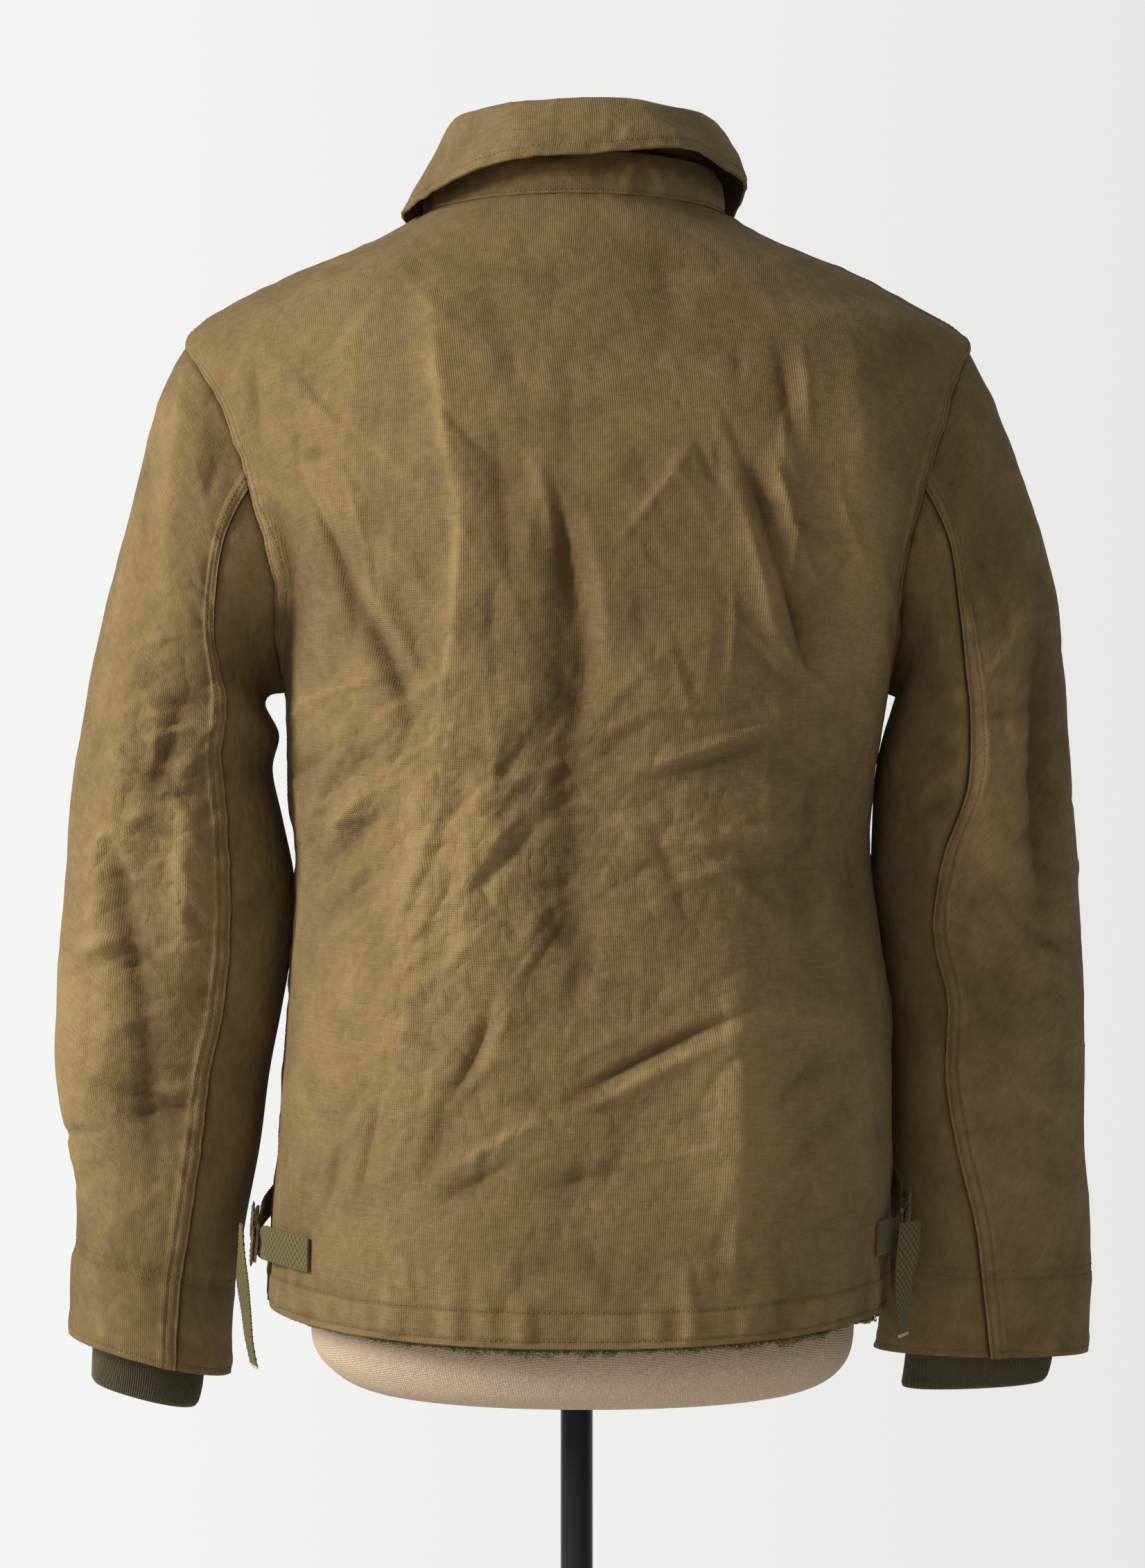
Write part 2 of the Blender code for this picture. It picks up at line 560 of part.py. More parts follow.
def build_sleeve(side, word):
    """An upper and an under sleeve, sewn together down the back and the front of the arm."""
    rows = np.array(SLEEVE_ROWS, float)
    surface = lambda q, a: sleeve(side, q, a)
    for name, angles in zip((f"sleeve_top_{word}", f"sleeve_under_{word}"), sleeve_angles(side, rows)):
        rings = np.broadcast_to(rows[:, None], angles.shape)
        points = surface(rings, angles)
        outward = normals(surface, np.maximum(rings, 0.02), angles, du=0.015) * side
        outward[0] = armhole_normals(side, angles[0])
        inner_side = np.clip((0.75 + outward[..., 0] * side) / 0.5, 0, 1)
        lift = fold_height(points, outward[..., 1], sleeve_folds(side)) * ease(rings, 1.5) * inner_side
        outer, inner = wall(points + lift[..., None] * outward, outward, WALL)
        grid_solid(name, outer, inner, "canvas")


def build_cuff(side, word):
    """The knit cuff: sewn in a little above the hem, then narrower, down past the hem."""
    grid = []
    for ring, size, lowered in CUFF:
        angles = np.concatenate([part[0, :-1] for part in sleeve_angles(side, np.array([ring]))])
        rings = np.full_like(angles, ring)
        surface = lambda q, a: sleeve(side, q, a)
        points = surface(rings, angles)
        outward = normals(surface, np.minimum(rings, SLEEVE_HEM_RING - 0.02), angles, du=0.015) * side
        inside = points - (WALL + LAID_GAP + 0.2) * outward
        centre = inside.mean(0)
        tilt = CUFF_TILT[side] * side * (inside[:, 0] - centre[0]) / np.ptp(inside[:, 0]) * 2
        move = np.zeros_like(inside)
        move[:, 0] = CUFF_SHIFT[side]
        move[:, 2] = tilt - CUFF_DROP[side]
        grid.append(centre + size * (inside - centre) + lowered * move)
    outer = np.array(grid)
    away = outer - outer.mean(1, keepdims=True)
    away = away / np.linalg.norm(away, axis=-1, keepdims=True)
    grid_solid(f"knit_cuff_{word}", outer, outer - KNIT_WALL * away, "knit", ring=True)


# Collar

def collar(table, ring, angle):
    """The collar's surface at a ring of its table."""
    z_back, z_side, z_front, half_width, y_back, y_front, x_mid, lift, _ = np.moveaxis(along(table, ring), -1, 0)
    x, y = oval(angle, half_width, y_back, y_front, 4.0, x_mid, COLLAR_POWER)
    beside = ease(np.abs(angle), 50) * ease(150 - np.abs(angle), 55)
    raised = lift * beside * np.where(np.asarray(angle) > 0, 1, LEFT_LIFT)
    return np.stack([x, y - 0.5 * np.maximum(raised, 0), tilted(angle, z_back, z_side, z_front) + raised], -1)


def build_collar_piece(name, table, rows, thickness, at_neck=False):
    """A collar piece from one front end round the back to the other."""
    share = np.linspace(-1, 1, 2 * BACK_COLUMNS + 1)
    rings = np.array(rows, float)[:, None] * np.ones_like(share)
    angles = along(table, rings)[..., 8] * share
    surface = lambda q, a: collar(table, q, a)
    points = surface(rings, angles)
    outward = normals(surface, rings, angles)
    if at_neck:
        outward[0] = neck_normals(angles[0])
        points[0, :, 2] += NECK_GAP
    outer, inner = wall(points, outward, thickness)
    grid_solid(name, outer, inner, "canvas")


# Trim at the hem

def build_lining():
    """The pile lining's edge, laid inside the panels on their own points, and below the hem."""
    back = np.linspace(0, 1, BACK_COLUMNS + 1)
    front = np.linspace(0, 1, FRONT_COLUMNS + 1)
    angles = np.concatenate([
        SIDE_SEAM * (2 * back[:-1] - 1), SIDE_SEAM + (180 - SIDE_SEAM) * front[:-1], 180 + (180 - SIDE_SEAM) * front[:-1]])
    share = np.concatenate([back[:-1], front[:-1], front[:-1]])
    rings = np.array(LINING_ROWS)[:, None] * np.ones_like(angles)
    outward = normals(torso, np.maximum(rings, 0.02), angles * np.ones_like(rings))
    points = torso(rings, angles)
    lift = body_lift(points, outward, rings, share)
    outer = points + (lift - WALL - LAID_GAP - 0.2)[..., None] * outward
    outer = np.concatenate([outer[:1] - np.array([0, 0, LINING_DROP]), outer])
    out = outer - outer.mean(1, keepdims=True)
    out[..., 2] = 0
    out = out / np.linalg.norm(out, axis=-1, keepdims=True)
    grid_solid("pile_lining", outer, outer - PILE_THICK * out, "pile", ring=True)


def ribbon(name, centres, across, up, colour="webbing", width=WEB_WIDTH, thickness=WEB_THICK):
    """A strap of webbing along centres, with a width and an upper-side direction at each point."""
    corners = []
    for c, w, n in zip(centres, across, up):
        corners.append([c + w * width / 2 * i + n * thickness / 2 * j for i, j in ((-1, -1), (1, -1), (1, 1), (-1, 1))])
    points = np.array(corners).reshape(-1, 3)
    faces = [(0, 1, 2, 3)]
    for i in range(len(centres) - 1):
        for j in range(4):
            k = (j + 1) % 4
            faces.append((i * 4 + j, (i + 1) * 4 + j, (i + 1) * 4 + k, i * 4 + k))
    end = (len(centres) - 1) * 4
    faces.append((end + 3, end + 2, end + 1, end))
    add_mesh(name, points, faces, colour)


def ring_at_height(height):
    return np.interp(height, [row[1] for row in TORSO], range(len(TORSO)))


def on_body(side, angle, height, out):
    """A point that far out of the body's surface, and the surface's normal there."""
    ring = ring_at_height(height)
    point = torso(ring, side * angle)
    outward = normals(torso, np.array(ring), np.array(side * angle, float))
    return point + out * outward, outward


def buckle_frame(side):
    """The buckle's middle and its axes: along the strap towards the front, across it, and out."""
    _, _, angle, height, out = STRAPS[side]
    middle, outward = on_body(side, angle, height, out)
    forward = np.array([0.0, 0.88, 0.47])
    forward -= outward * (forward @ outward)
    forward /= np.linalg.norm(forward)
    return middle, forward, np.cross(outward, forward) * side, outward


def build_buckle(side, word):
    """A bowed sheet-metal slide with two slots, for the two straps."""
    middle, forward, across, outward = buckle_frame(side)
    u = (-BUCKLE_HALF_LENGTH - 1, -BUCKLE_HALF_LENGTH + 1, -1, 1, BUCKLE_HALF_LENGTH - 1, BUCKLE_HALF_LENGTH + 1)
    v = (-BUCKLE_HALF_WIDTH, -BUCKLE_HALF_WIDTH + BUCKLE_BAR, BUCKLE_HALF_WIDTH - BUCKLE_BAR, BUCKLE_HALF_WIDTH)
    layers = []
    for level in (-BUCKLE_THICK / 2, BUCKLE_THICK / 2):
        for a in u:
            bow = BUCKLE_BOW * (1 - (a / BUCKLE_HALF_LENGTH) ** 2)
            for b in v:
                layers.append(middle + forward * a + across * b + outward * (level + bow))
    columns, count = len(v), len(u) * len(v)
    solid = [(i, j) for i in range(len(u) - 1) for j in range(columns - 1) if not (i in (1, 3) and j == 1)]
    faces = []
    for i, j in solid:
        a, b, c, d = i * columns + j, i * columns + j + 1, (i + 1) * columns + j + 1, (i + 1) * columns + j
        faces.append((a, b, c, d))
        faces.append((count + d, count + c, count + b, count + a))
        for (p, q), other in (((a, b), (i - 1, j)), ((b, c), (i, j + 1)), ((c, d), (i + 1, j)), ((d, a), (i, j - 1))):
            if other not in solid:
                faces.append((q, p, count + p, count + q))
    add_mesh(f"buckle_{word}", layers, faces, "buckle")


def turn_round(side, bar, back_side, steps=4):
    """Centres and upper directions of webbing that turns round a bar from below to above."""
    middle, forward, _, outward = buckle_frame(side)
    radius = BUCKLE_THICK / 2 + LAID_GAP + WEB_THICK / 2 + 0.4
    centres, up = [], []
    for i in range(steps + 1):
        turn = math.pi * i / steps
        reach = math.sin(turn) * radius * back_side
        centres.append(middle + forward * (bar + 0.8 * back_side + reach) - outward * radius * math.cos(turn))
        up.append(outward * math.cos(turn) - forward * math.sin(turn) * back_side)
    for step in (5.0, 11.0):
        centres.append(centres[steps] - forward * step * back_side)
        up.append(-outward)
    return centres, up


def build_straps(side, word):
    """The back strap and the front strap, each round one bar of the buckle, and the loose tail."""
    _, forward, across, outward = buckle_frame(side)
    end_angle, end_z, angle, height, out = STRAPS[side]
    lie = WEB_THICK / 2 + LAID_GAP + 0.5
    centres, up, wide = [], [], []
    for share, rise in ((0, 0), (0.25, 0.03), (0.5, 0.2), (0.68, 0.5)):
        point, normal = on_body(side, end_angle + (angle - end_angle) * share, end_z, lie + rise * out)
        centres.append(point)
        up.append(normal)
        wide.append(np.array([0.0, 0, 1]) - normal * normal[2])
    loop, loop_up = turn_round(side, -BUCKLE_HALF_LENGTH, 1)
    ribbon(f"strap_back_{word}", centres + loop, wide + [across] * len(loop), up + loop_up)
    centres, up, wide = [], [], []
    for share, rise in ((1, 0.0), (0.6, 0.12), (0.25, 0.5)):
        point, normal = on_body(side, angle + 26 * share, height + 6 + 22 * share, lie + rise * out)
        centres.append(point)
        up.append(normal)
        wide.append(np.cross(normal, -forward) * -side)
    loop, loop_up = turn_round(side, BUCKLE_HALF_LENGTH, -1)
    ribbon(f"strap_front_{word}", centres + loop, [*wide, *[across] * len(loop)], up + loop_up)
    centres, up, wide = [], [], []
    for x, y, z, turn in TAILS[side]:
        c, n = math.cos(math.radians(turn)), math.sin(math.radians(turn))
        centres.append(np.array([x, y, z], float))
        wide.append(np.array([n * side, c, 0.0]))
        up.append(np.array([c * side, -n, 0.0]))
    ribbon(f"strap_tail_{word}", centres, wide, up)


# The dress form and its stand

def build_form():
    """The torso, closed below and above. Its shoulders lie just under the jacket's."""
    angles = np.linspace(-180, 180, 2 * BACK_COLUMNS, endpoint=False)
    rings = []

    def plain(row):
        z_back, z_front, half_width, y_back, y_front, y_mid, x_mid, power = row
        x, y = oval(angles, half_width, y_back, y_front, y_mid, x_mid, power)
        return np.stack([x, y, tilted(angles, z_back, (z_back + z_front) / 2, z_front)], -1)

    rings += [plain(row) for row in FORM_TORSO]
    for row in [r for r in body_rows() if r >= 13]:
        at = np.full_like(angles, row)
        rings.append(torso(at, angles) - (WALL + FORM_SEAT_GAP) * normals(torso, np.minimum(at, NECK_RING - 0.01), angles))
    rings += [plain(row) for row in FORM_NECK]
    loft("dress_form", rings, "linen")


def loft(name, rings, colour):
    """A closed solid through rings of points, with flat ends."""
    columns = len(rings[0])
    points = np.concatenate(rings)
    faces = [tuple(range(columns - 1, -1, -1))]
    for i in range(len(rings) - 1):
        for j in range(columns):
            k = (j + 1) % columns
            faces.append((i * columns + j, i * columns + k, (i + 1) * columns + k, (i + 1) * columns + j))
    end = (len(rings) - 1) * columns
    faces.append(tuple(range(end, end + columns)))
    add_mesh(name, points, faces, colour)


def turned_ring(radius, height, sides):
    turns = np.linspace(0, 2 * math.pi, sides, endpoint=False)
    return np.stack([radius * np.cos(turns), radius * np.sin(turns), np.full(sides, float(height))], -1)


def build_stand():
    """A round steel base with a boss, and the pole from the boss to the form's underside."""
    loft("stand_base", [turned_ring(radius, height, BASE_SIDES) for height, radius in BASE_PROFILE], "black_steel")
    low = BASE_PROFILE[-1][0] + LAID_GAP
    high = FORM_TORSO[0][0] - LAID_GAP
    loft("stand_pole", [turned_ring(POLE_RADIUS, z, POLE_SIDES) for z in (low, high)], "black_steel")


def main():
    for obj in list(bpy.data.objects):
        bpy.data.objects.remove(obj)
    build_body()
    build_fly()
    for side, word in ((-1, "left"), (1, "right")):
        build_sleeve(side, word)
        build_cuff(side, word)
        build_buckle(side, word)
        build_straps(side, word)
    build_collar_piece("collar_stand", STAND, (0, 1, 2), WALL, at_neck=True)
    build_collar_piece("collar_leaf", LEAF, (0, 1, 2, 3, 4, 5, 6, 7), COLLAR_WALL)
    build_lining()
    build_form()
    build_stand()


main()
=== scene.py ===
# %% [markdown]
# # A canvas deck jacket on a dress form
#
# The CAD part is a jacket in plain walls of cloth. This notebook gives it the look of the real
# thing: heavy washed canvas that has creased where it was worn, lapped seams held by two rows of
# thread, a pile lining that peeps out below the hem, ribbed knit cuffs and woven side straps.
#
# Every cloth surface is worked out again from the same few sizes as the CAD, only on a much
# finer grid. That keeps the fine cloth on its solid, and lets seams and stitches be placed by
# distances in millimetres, as a tailor would place them.

# %%
import math

import bpy
import numpy as np
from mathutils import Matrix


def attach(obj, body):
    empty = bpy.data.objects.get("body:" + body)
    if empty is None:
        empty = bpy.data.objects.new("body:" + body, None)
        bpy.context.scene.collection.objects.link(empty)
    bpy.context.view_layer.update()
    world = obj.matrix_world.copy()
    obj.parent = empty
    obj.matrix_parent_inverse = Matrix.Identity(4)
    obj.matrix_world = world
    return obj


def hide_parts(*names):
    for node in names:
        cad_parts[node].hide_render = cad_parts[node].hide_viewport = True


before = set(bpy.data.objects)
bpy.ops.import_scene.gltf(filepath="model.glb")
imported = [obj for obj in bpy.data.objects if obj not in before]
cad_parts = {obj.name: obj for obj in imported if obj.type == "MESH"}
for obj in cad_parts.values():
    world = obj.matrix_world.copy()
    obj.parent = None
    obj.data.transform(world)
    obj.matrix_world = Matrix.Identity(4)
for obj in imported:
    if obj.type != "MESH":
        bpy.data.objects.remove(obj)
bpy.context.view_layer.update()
print("CAD nodes:", len(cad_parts))

# %% [markdown]
# ## Sizes
#
# The photograph shows the back. +Y is the garment's front, +X is the right of the picture and Z
# is up. Tables are in millimetres. The camera stands 2.5 m behind the jacket, at chest height,
# and one picture pixel is 0.41 mm at the pole. Folds are given where they are seen, in the
# picture's pixels, and `picture` says where a point of the cloth is seen.

# %%
MM = 0.001
GARMENT_X = -2.5          # from the tables' middle line to the pole's axis
CAMERA_DISTANCE = 2500.0
CAMERA_HEIGHT = 1130.0
PIXEL = 0.41
PICTURE_CENTRE = (826.0, 1131.5)
PICTURE_HEIGHT = 2263.0
WALL = 2.0                # the CAD's cloth wall
SHELL = 1.5               # the canvas seen here
SIDE_SEAM = 92.0          # degrees from the centre back
LAP = 9.0                 # width of a lapped seam
STITCH_NEAR = 2.0         # the two rows of a lapped seam, from its edge
STITCH_FAR = 7.3
STITCH_PITCH = 3.0
BACK_STEP, FRONT_STEP = 2.35, 3.1      # fineness of the cloth's grids
TOP_STEP, UNDER_STEP = 2.7, 3.1
SIDES = ((-1, "left"), (1, "right"))
RANDOM = np.random.default_rng(7)

# %% [markdown]
# ### The body, the sleeves and the collar
#
# A body ring is a squared oval. Its height is given at the centre back, the side and the centre
# front, because the shoulders tilt down to the front. A sleeve ring is an oval between an outer
# and an inner point seen from the back. Smooth curves run through the rows of each table.

# %%
TORSO_COLUMNS = ("z_back", "z_side", "z_front", "half_width", "y_back", "y_front", "y_mid", "x_mid", "power")
TORSO = (
    (815, 824, 824, 182.0, -146, 152, 8, 3.5, 2.30),
    (850, 858, 857, 182.5, -148, 153, 8, 4.5, 2.35),
    (920, 921, 920, 180.5, -150, 153, 8, 7.5, 2.40),
    (1000, 1000, 1000, 177.5, -150, 152, 8, 9.5, 2.40),
    (1080, 1080, 1080, 169.5, -147, 150, 8, 6.0, 2.40),
    (1130, 1130, 1130, 172.0, -146, 148, 7, 5.0, 2.40),
    (1184, 1184, 1184, 177.0, -147, 145, 6, 8.0, 2.40),
    (1240, 1240, 1238, 189.0, -148, 138, 5, 9.0, 2.40),
    (1290, 1290, 1283, 207.0, -146, 130, 4, 8.5, 2.35),
    (1340, 1340, 1325, 221.0, -139, 120, 2, 8.0, 2.25),
    (1375, 1375, 1350, 229.0, -127, 111, 1, 4.5, 2.10),
    (1398, 1394, 1366, 227.0, -117, 104, 0, 2.0, 1.95),
    (1416, 1410, 1378, 202.5, -107, 98, 0, -1.0, 1.95),
    (1434, 1426, 1388, 173.0, -97, 92, 1, 0.5, 1.95),
    (1450, 1442, 1396, 134.5, -86, 86, 2, 1.5, 2.00),
    (1462, 1456, 1402, 104.0, -77, 82, 3, 1.0, 2.05),
    (1470, 1466, 1405, 88.0, -70, 79, 4, 0.5, 2.10),
)
UNDERARM_RING, SHOULDER_RING, NECK_RING = 6, 11, 16
ARMHOLE_BACK = (92, 70, 65, 67.5, 75.5, 90)
ARMHOLE_FRONT = (92, 112, 116, 113, 105, 90)
ARMHOLE_MID_Z, ARMHOLE_HALF_Z = 1289.0, 105.0
ARMHOLE_FADE = 4.0

# %%
SLEEVE_COLUMNS = (
    "outer_x", "outer_z", "inner_x", "inner_z", "y_mid", "half_depth", "seam_back", "seam_front")
SLEEVE_LEFT = (
    (226, 1394, 169, 1184, 2, 72, 83, 277),
    (242, 1361, 179, 1183, -1, 77, 92, 266),
    (259, 1297, 182, 1175, 0, 80, 106, 256),
    (276, 1231, 174, 1159, 3, 80, 118, 250),
    (288, 1176, 178, 1138, 6, 78, 122, 248),
    (296, 1130, 172, 1108, 10, 75, 122, 247),
    (300, 1080, 165.5, 1073, 14, 72, 120, 246),
    (304, 1035, 166.5, 1038, 18, 69, 121, 246),
    (305, 998, 173, 999, 21, 66, 122, 246),
    (304, 959, 181, 958, 24, 62, 119, 246),
    (297, 914, 187, 914, 28, 57, 115, 246),
    (296, 878, 196, 868, 33, 53, 114, 246),
    (301, 839, 203, 822, 37, 51, 114, 246),
    (302, 801, 206, 776, 42, 49, 113, 246),
)
SLEEVE_RIGHT = (
    (229, 1393, 185, 1184, 2, 72, 83, 277),
    (246, 1359, 192, 1181, 0, 77, 88, 268),
    (265, 1311, 189, 1172, 3, 80, 95, 258),
    (283, 1256, 184, 1156, 8, 80, 98, 252),
    (290, 1208, 180, 1135, 12, 79, 96, 250),
    (294, 1160, 178.5, 1105, 16, 77, 98, 249),
    (298, 1112, 178.5, 1075, 22, 74, 112, 248),
    (302, 1062, 182.5, 1037, 28, 70, 121, 248),
    (305, 1014, 188.5, 997, 34, 65, 117, 248),
    (307, 966, 190, 953, 41, 60, 119, 248),
    (308, 916, 190, 908, 49, 55, 110, 248),
    (312, 872, 190, 868, 58, 49, 101, 248),
    (314, 828, 188, 827, 66, 44, 95, 248),
    (313.5, 785, 184, 787, 76, 41, 88, 248),
)
SLEEVE_TABLES = {-1: SLEEVE_LEFT, 1: SLEEVE_RIGHT}
SLEEVE_HEM_RING = 13

# %%
COLLAR_COLUMNS = (
    "z_back", "z_side", "z_front", "half_width", "y_back", "y_front", "x_mid", "lift", "open_front")
STAND = (
    (1470, 1466, 1405, 88.0, -70.0, 79.0, 0.5, 0, 176),
    (1482, 1479, 1413, 85.5, -71.5, 78.0, 0.7, 0, 176),
    (1494, 1491, 1422, 82.5, -72.0, 76.5, 1.0, 0, 176),
)
LEAF = (
    (1494, 1491, 1422, 80.0, -69.5, 74.0, 1.0, 0, 176),
    (1508, 1505, 1434, 76.0, -68.0, 72.5, 3.5, 0, 176),
    (1518, 1515, 1443, 73.0, -67.5, 72.0, 6.0, 0, 175),
    (1522, 1519, 1447, 75.0, -70.5, 75.0, 6.5, 0, 175),
    (1518.5, 1514.5, 1443.5, 79.0, -76.0, 80.0, 6.5, 1, 174),
    (1509, 1499, 1430, 86.0, -84.5, 89.0, 6.5, 4, 170),
    (1498, 1482, 1411, 93.5, -91.5, 98.0, 4.0, 10, 164),
    (1488, 1466, 1394, 99.0, -95.5, 106.0, 1.0, 15, 158),
)
LEFT_LIFT = -0.1
COLLAR_POWER = 2.1
COLLAR_WALL = 2.3
FORM_COLUMNS = ("z_back", "z_front", "half_width", "y_back", "y_front", "y_mid", "x_mid", "power")
FORM_TORSO = (
    (771, 771, 104, -76, 90, 7, 9.0, 2.1),
    (775, 775, 132, -98, 112, 7, 8.5, 2.15),
    (785, 785, 150, -112, 126, 7, 8.0, 2.2),
    (803, 803, 160, -119, 133, 7, 6.0, 2.25),
    (840, 840, 159, -122, 136, 7, 6.0, 2.25),
    (900, 900, 154, -119, 130, 7, 5.0, 2.25),
    (980, 980, 139, -106, 114, 6, 5.0, 2.2),
    (1075, 1075, 141, -108, 115, 5, 4.5, 2.2),
    (1180, 1180, 155, -118, 124, 4, 4.0, 2.25),
    (1260, 1260, 164, -122, 121, 3, 3.5, 2.25),
    (1325, 1318, 174, -118, 107, 2, 3.0, 2.2),
    (1372, 1348, 183, -108, 94, 1, 2.0, 2.1),
    (1400, 1366, 183, -97, 84, 1, 1.0, 2.0),
)
FORM_NECK = (
    (1478, 1417, 75, -59, 67, 4, 0.5, 2.05),
    (1487, 1432, 66, -53, 59, 3, 0.5, 2.0),
    (1497, 1462, 62, -51, 55, 2, 0.5, 2.0),
    (1506, 1500, 61, -50, 54, 2, 0.5, 2.0),
)

# %% [markdown]
# ### Surfaces from the tables
#
# `torso`, `sleeve` and `collar` give a point for a ring number and an angle. `normals` finds
# which way the cloth faces, from two small steps along the surface.

# %%
def along(table, position):
    """Rows of a table at fractional row numbers, on a smooth curve through its rows."""
    rows = np.asarray(table, float)
    position = np.clip(np.asarray(position, float), 0, len(rows) - 1)
    start = np.minimum(position.astype(int), len(rows) - 2)
    f = (position - start)[..., None]
    p0 = rows[np.maximum(start - 1, 0)]
    p1 = rows[start]
    p2 = rows[start + 1]
    p3 = rows[np.minimum(start + 2, len(rows) - 1)]
    square = p0 - 2.5 * p1 + 2 * p2 - p3 / 2
    cube = 1.5 * (p1 - p2) + (p3 - p0) / 2
    return p1 + f * ((p2 - p0) / 2 + f * (square + f * cube))


def oval(angle, half_width, y_back, y_front, y_mid, x_mid, power):
    """x and y on a squared oval. The angle is in degrees from the centre back towards +X."""
    turn = np.radians(angle)
    c, s = np.cos(turn), np.sin(turn)
    x = x_mid + half_width * np.sign(s) * np.abs(s) ** (2 / power)
    reach = np.where(c > 0, y_back - y_mid, y_front - y_mid)
    return x, y_mid + reach * np.abs(c) ** (2 / power)


def tilted(angle, z_back, z_side, z_front):
    """Height round a ring whose back, sides and front stand at different heights."""
    c = np.cos(np.radians(angle))
    return z_side + np.where(c > 0, z_back - z_side, z_front - z_side) * c * c


def torso(ring, angle):
    """The body's smooth outer surface."""
    ring, angle = np.broadcast_arrays(np.asarray(ring, float), np.asarray(angle, float))
    columns = np.moveaxis(along(TORSO, ring), -1, 0)
    z_back, z_side, z_front, half_width, y_back, y_front, y_mid, x_mid, power = columns
    x, y = oval(angle, half_width, y_back, y_front, y_mid, x_mid, power)
    return np.stack([x, y, tilted(angle, z_back, z_side, z_front)], -1)

# %%
def edge_angle(ring, table):
    """The angle of the armhole's edge at a ring."""
    return along(np.array(table, float)[:, None], np.asarray(ring, float) - UNDERARM_RING)[..., 0]


def armhole(side, turn):
    """Ring and angle of the armhole's edge. turn is in degrees from the shoulder tip, back first."""
    turn = np.asarray(turn, float) % 360
    height = ARMHOLE_MID_Z + ARMHOLE_HALF_Z * np.cos(np.radians(turn))
    heights = [row[1] for row in TORSO[UNDERARM_RING:SHOULDER_RING + 1]]
    rings = np.interp(height, heights, range(UNDERARM_RING, SHOULDER_RING + 1))
    behind, before = edge_angle(rings, ARMHOLE_BACK), edge_angle(rings, ARMHOLE_FRONT)
    return rings, side * np.where(turn <= 180, behind, before)


def sleeve(side, ring, turn):
    """A sleeve's smooth outer surface. turn is in degrees from its outer line, back first."""
    ring, turn = np.broadcast_arrays(np.asarray(ring, float), np.asarray(turn, float))

    def plain(at):
        columns = np.moveaxis(along(SLEEVE_TABLES[side], at), -1, 0)
        outer_x, outer_z, inner_x, inner_z, y_mid, half_depth = columns[:6]
        c, s = np.cos(np.radians(turn)), np.sin(np.radians(turn))
        x = (outer_x + inner_x) / 2 + (outer_x - inner_x) / 2 * c
        z = (outer_z + inner_z) / 2 + (outer_z - inner_z) / 2 * c
        return np.stack([side * x, y_mid - half_depth * s, z], -1)

    edge = torso(*armhole(side, turn))
    fade = np.clip(1 - ring / ARMHOLE_FADE, 0, 1)[..., None] ** 2
    return plain(ring) + fade * (edge - plain(np.zeros_like(ring)))


def collar(table, ring, angle):
    """The collar's surface at a ring of its table."""
    columns = np.moveaxis(along(table, ring), -1, 0)
    z_back, z_side, z_front, half_width, y_back, y_front, x_mid, lift, _ = columns
    x, y = oval(angle, half_width, y_back, y_front, 4.0, x_mid, COLLAR_POWER)
    beside = ease(np.abs(angle), 50) * ease(150 - np.abs(angle), 55)
    raised = lift * beside * np.where(np.asarray(angle) > 0, 1, LEFT_LIFT)
    return np.stack([x, y - 0.5 * np.maximum(raised, 0), tilted(angle, z_back, z_side, z_front) + raised], -1)

# %%
def normals(surface, u, v, du=0.01, dv=0.3):
    """Unit normals of surface(u, v)."""
    along_u = surface(u + du, v) - surface(u - du, v)
    along_v = surface(u, v + dv) - surface(u, v - dv)
    n = np.cross(along_v, along_u)
    return n / np.linalg.norm(n, axis=-1, keepdims=True)


def ease(distance, reach):
    """0 at an edge, 1 beyond reach, smooth between."""
    t = np.clip(distance / reach, 0, 1)
    return t * t * (3 - 2 * t)


def picture(points):
    """Where points are seen in the photograph, in its pixels."""
    x, y, z = np.moveaxis(points, -1, 0)
    scale = PIXEL * (CAMERA_DISTANCE + y) / CAMERA_DISTANCE
    return PICTURE_CENTRE[0] + x / scale, PICTURE_CENTRE[1] - (z - CAMERA_HEIGHT) / scale


def unit(v):
    """Vectors scaled to length 1."""
    return v / np.maximum(np.linalg.norm(v, axis=-1, keepdims=True), 1e-9)
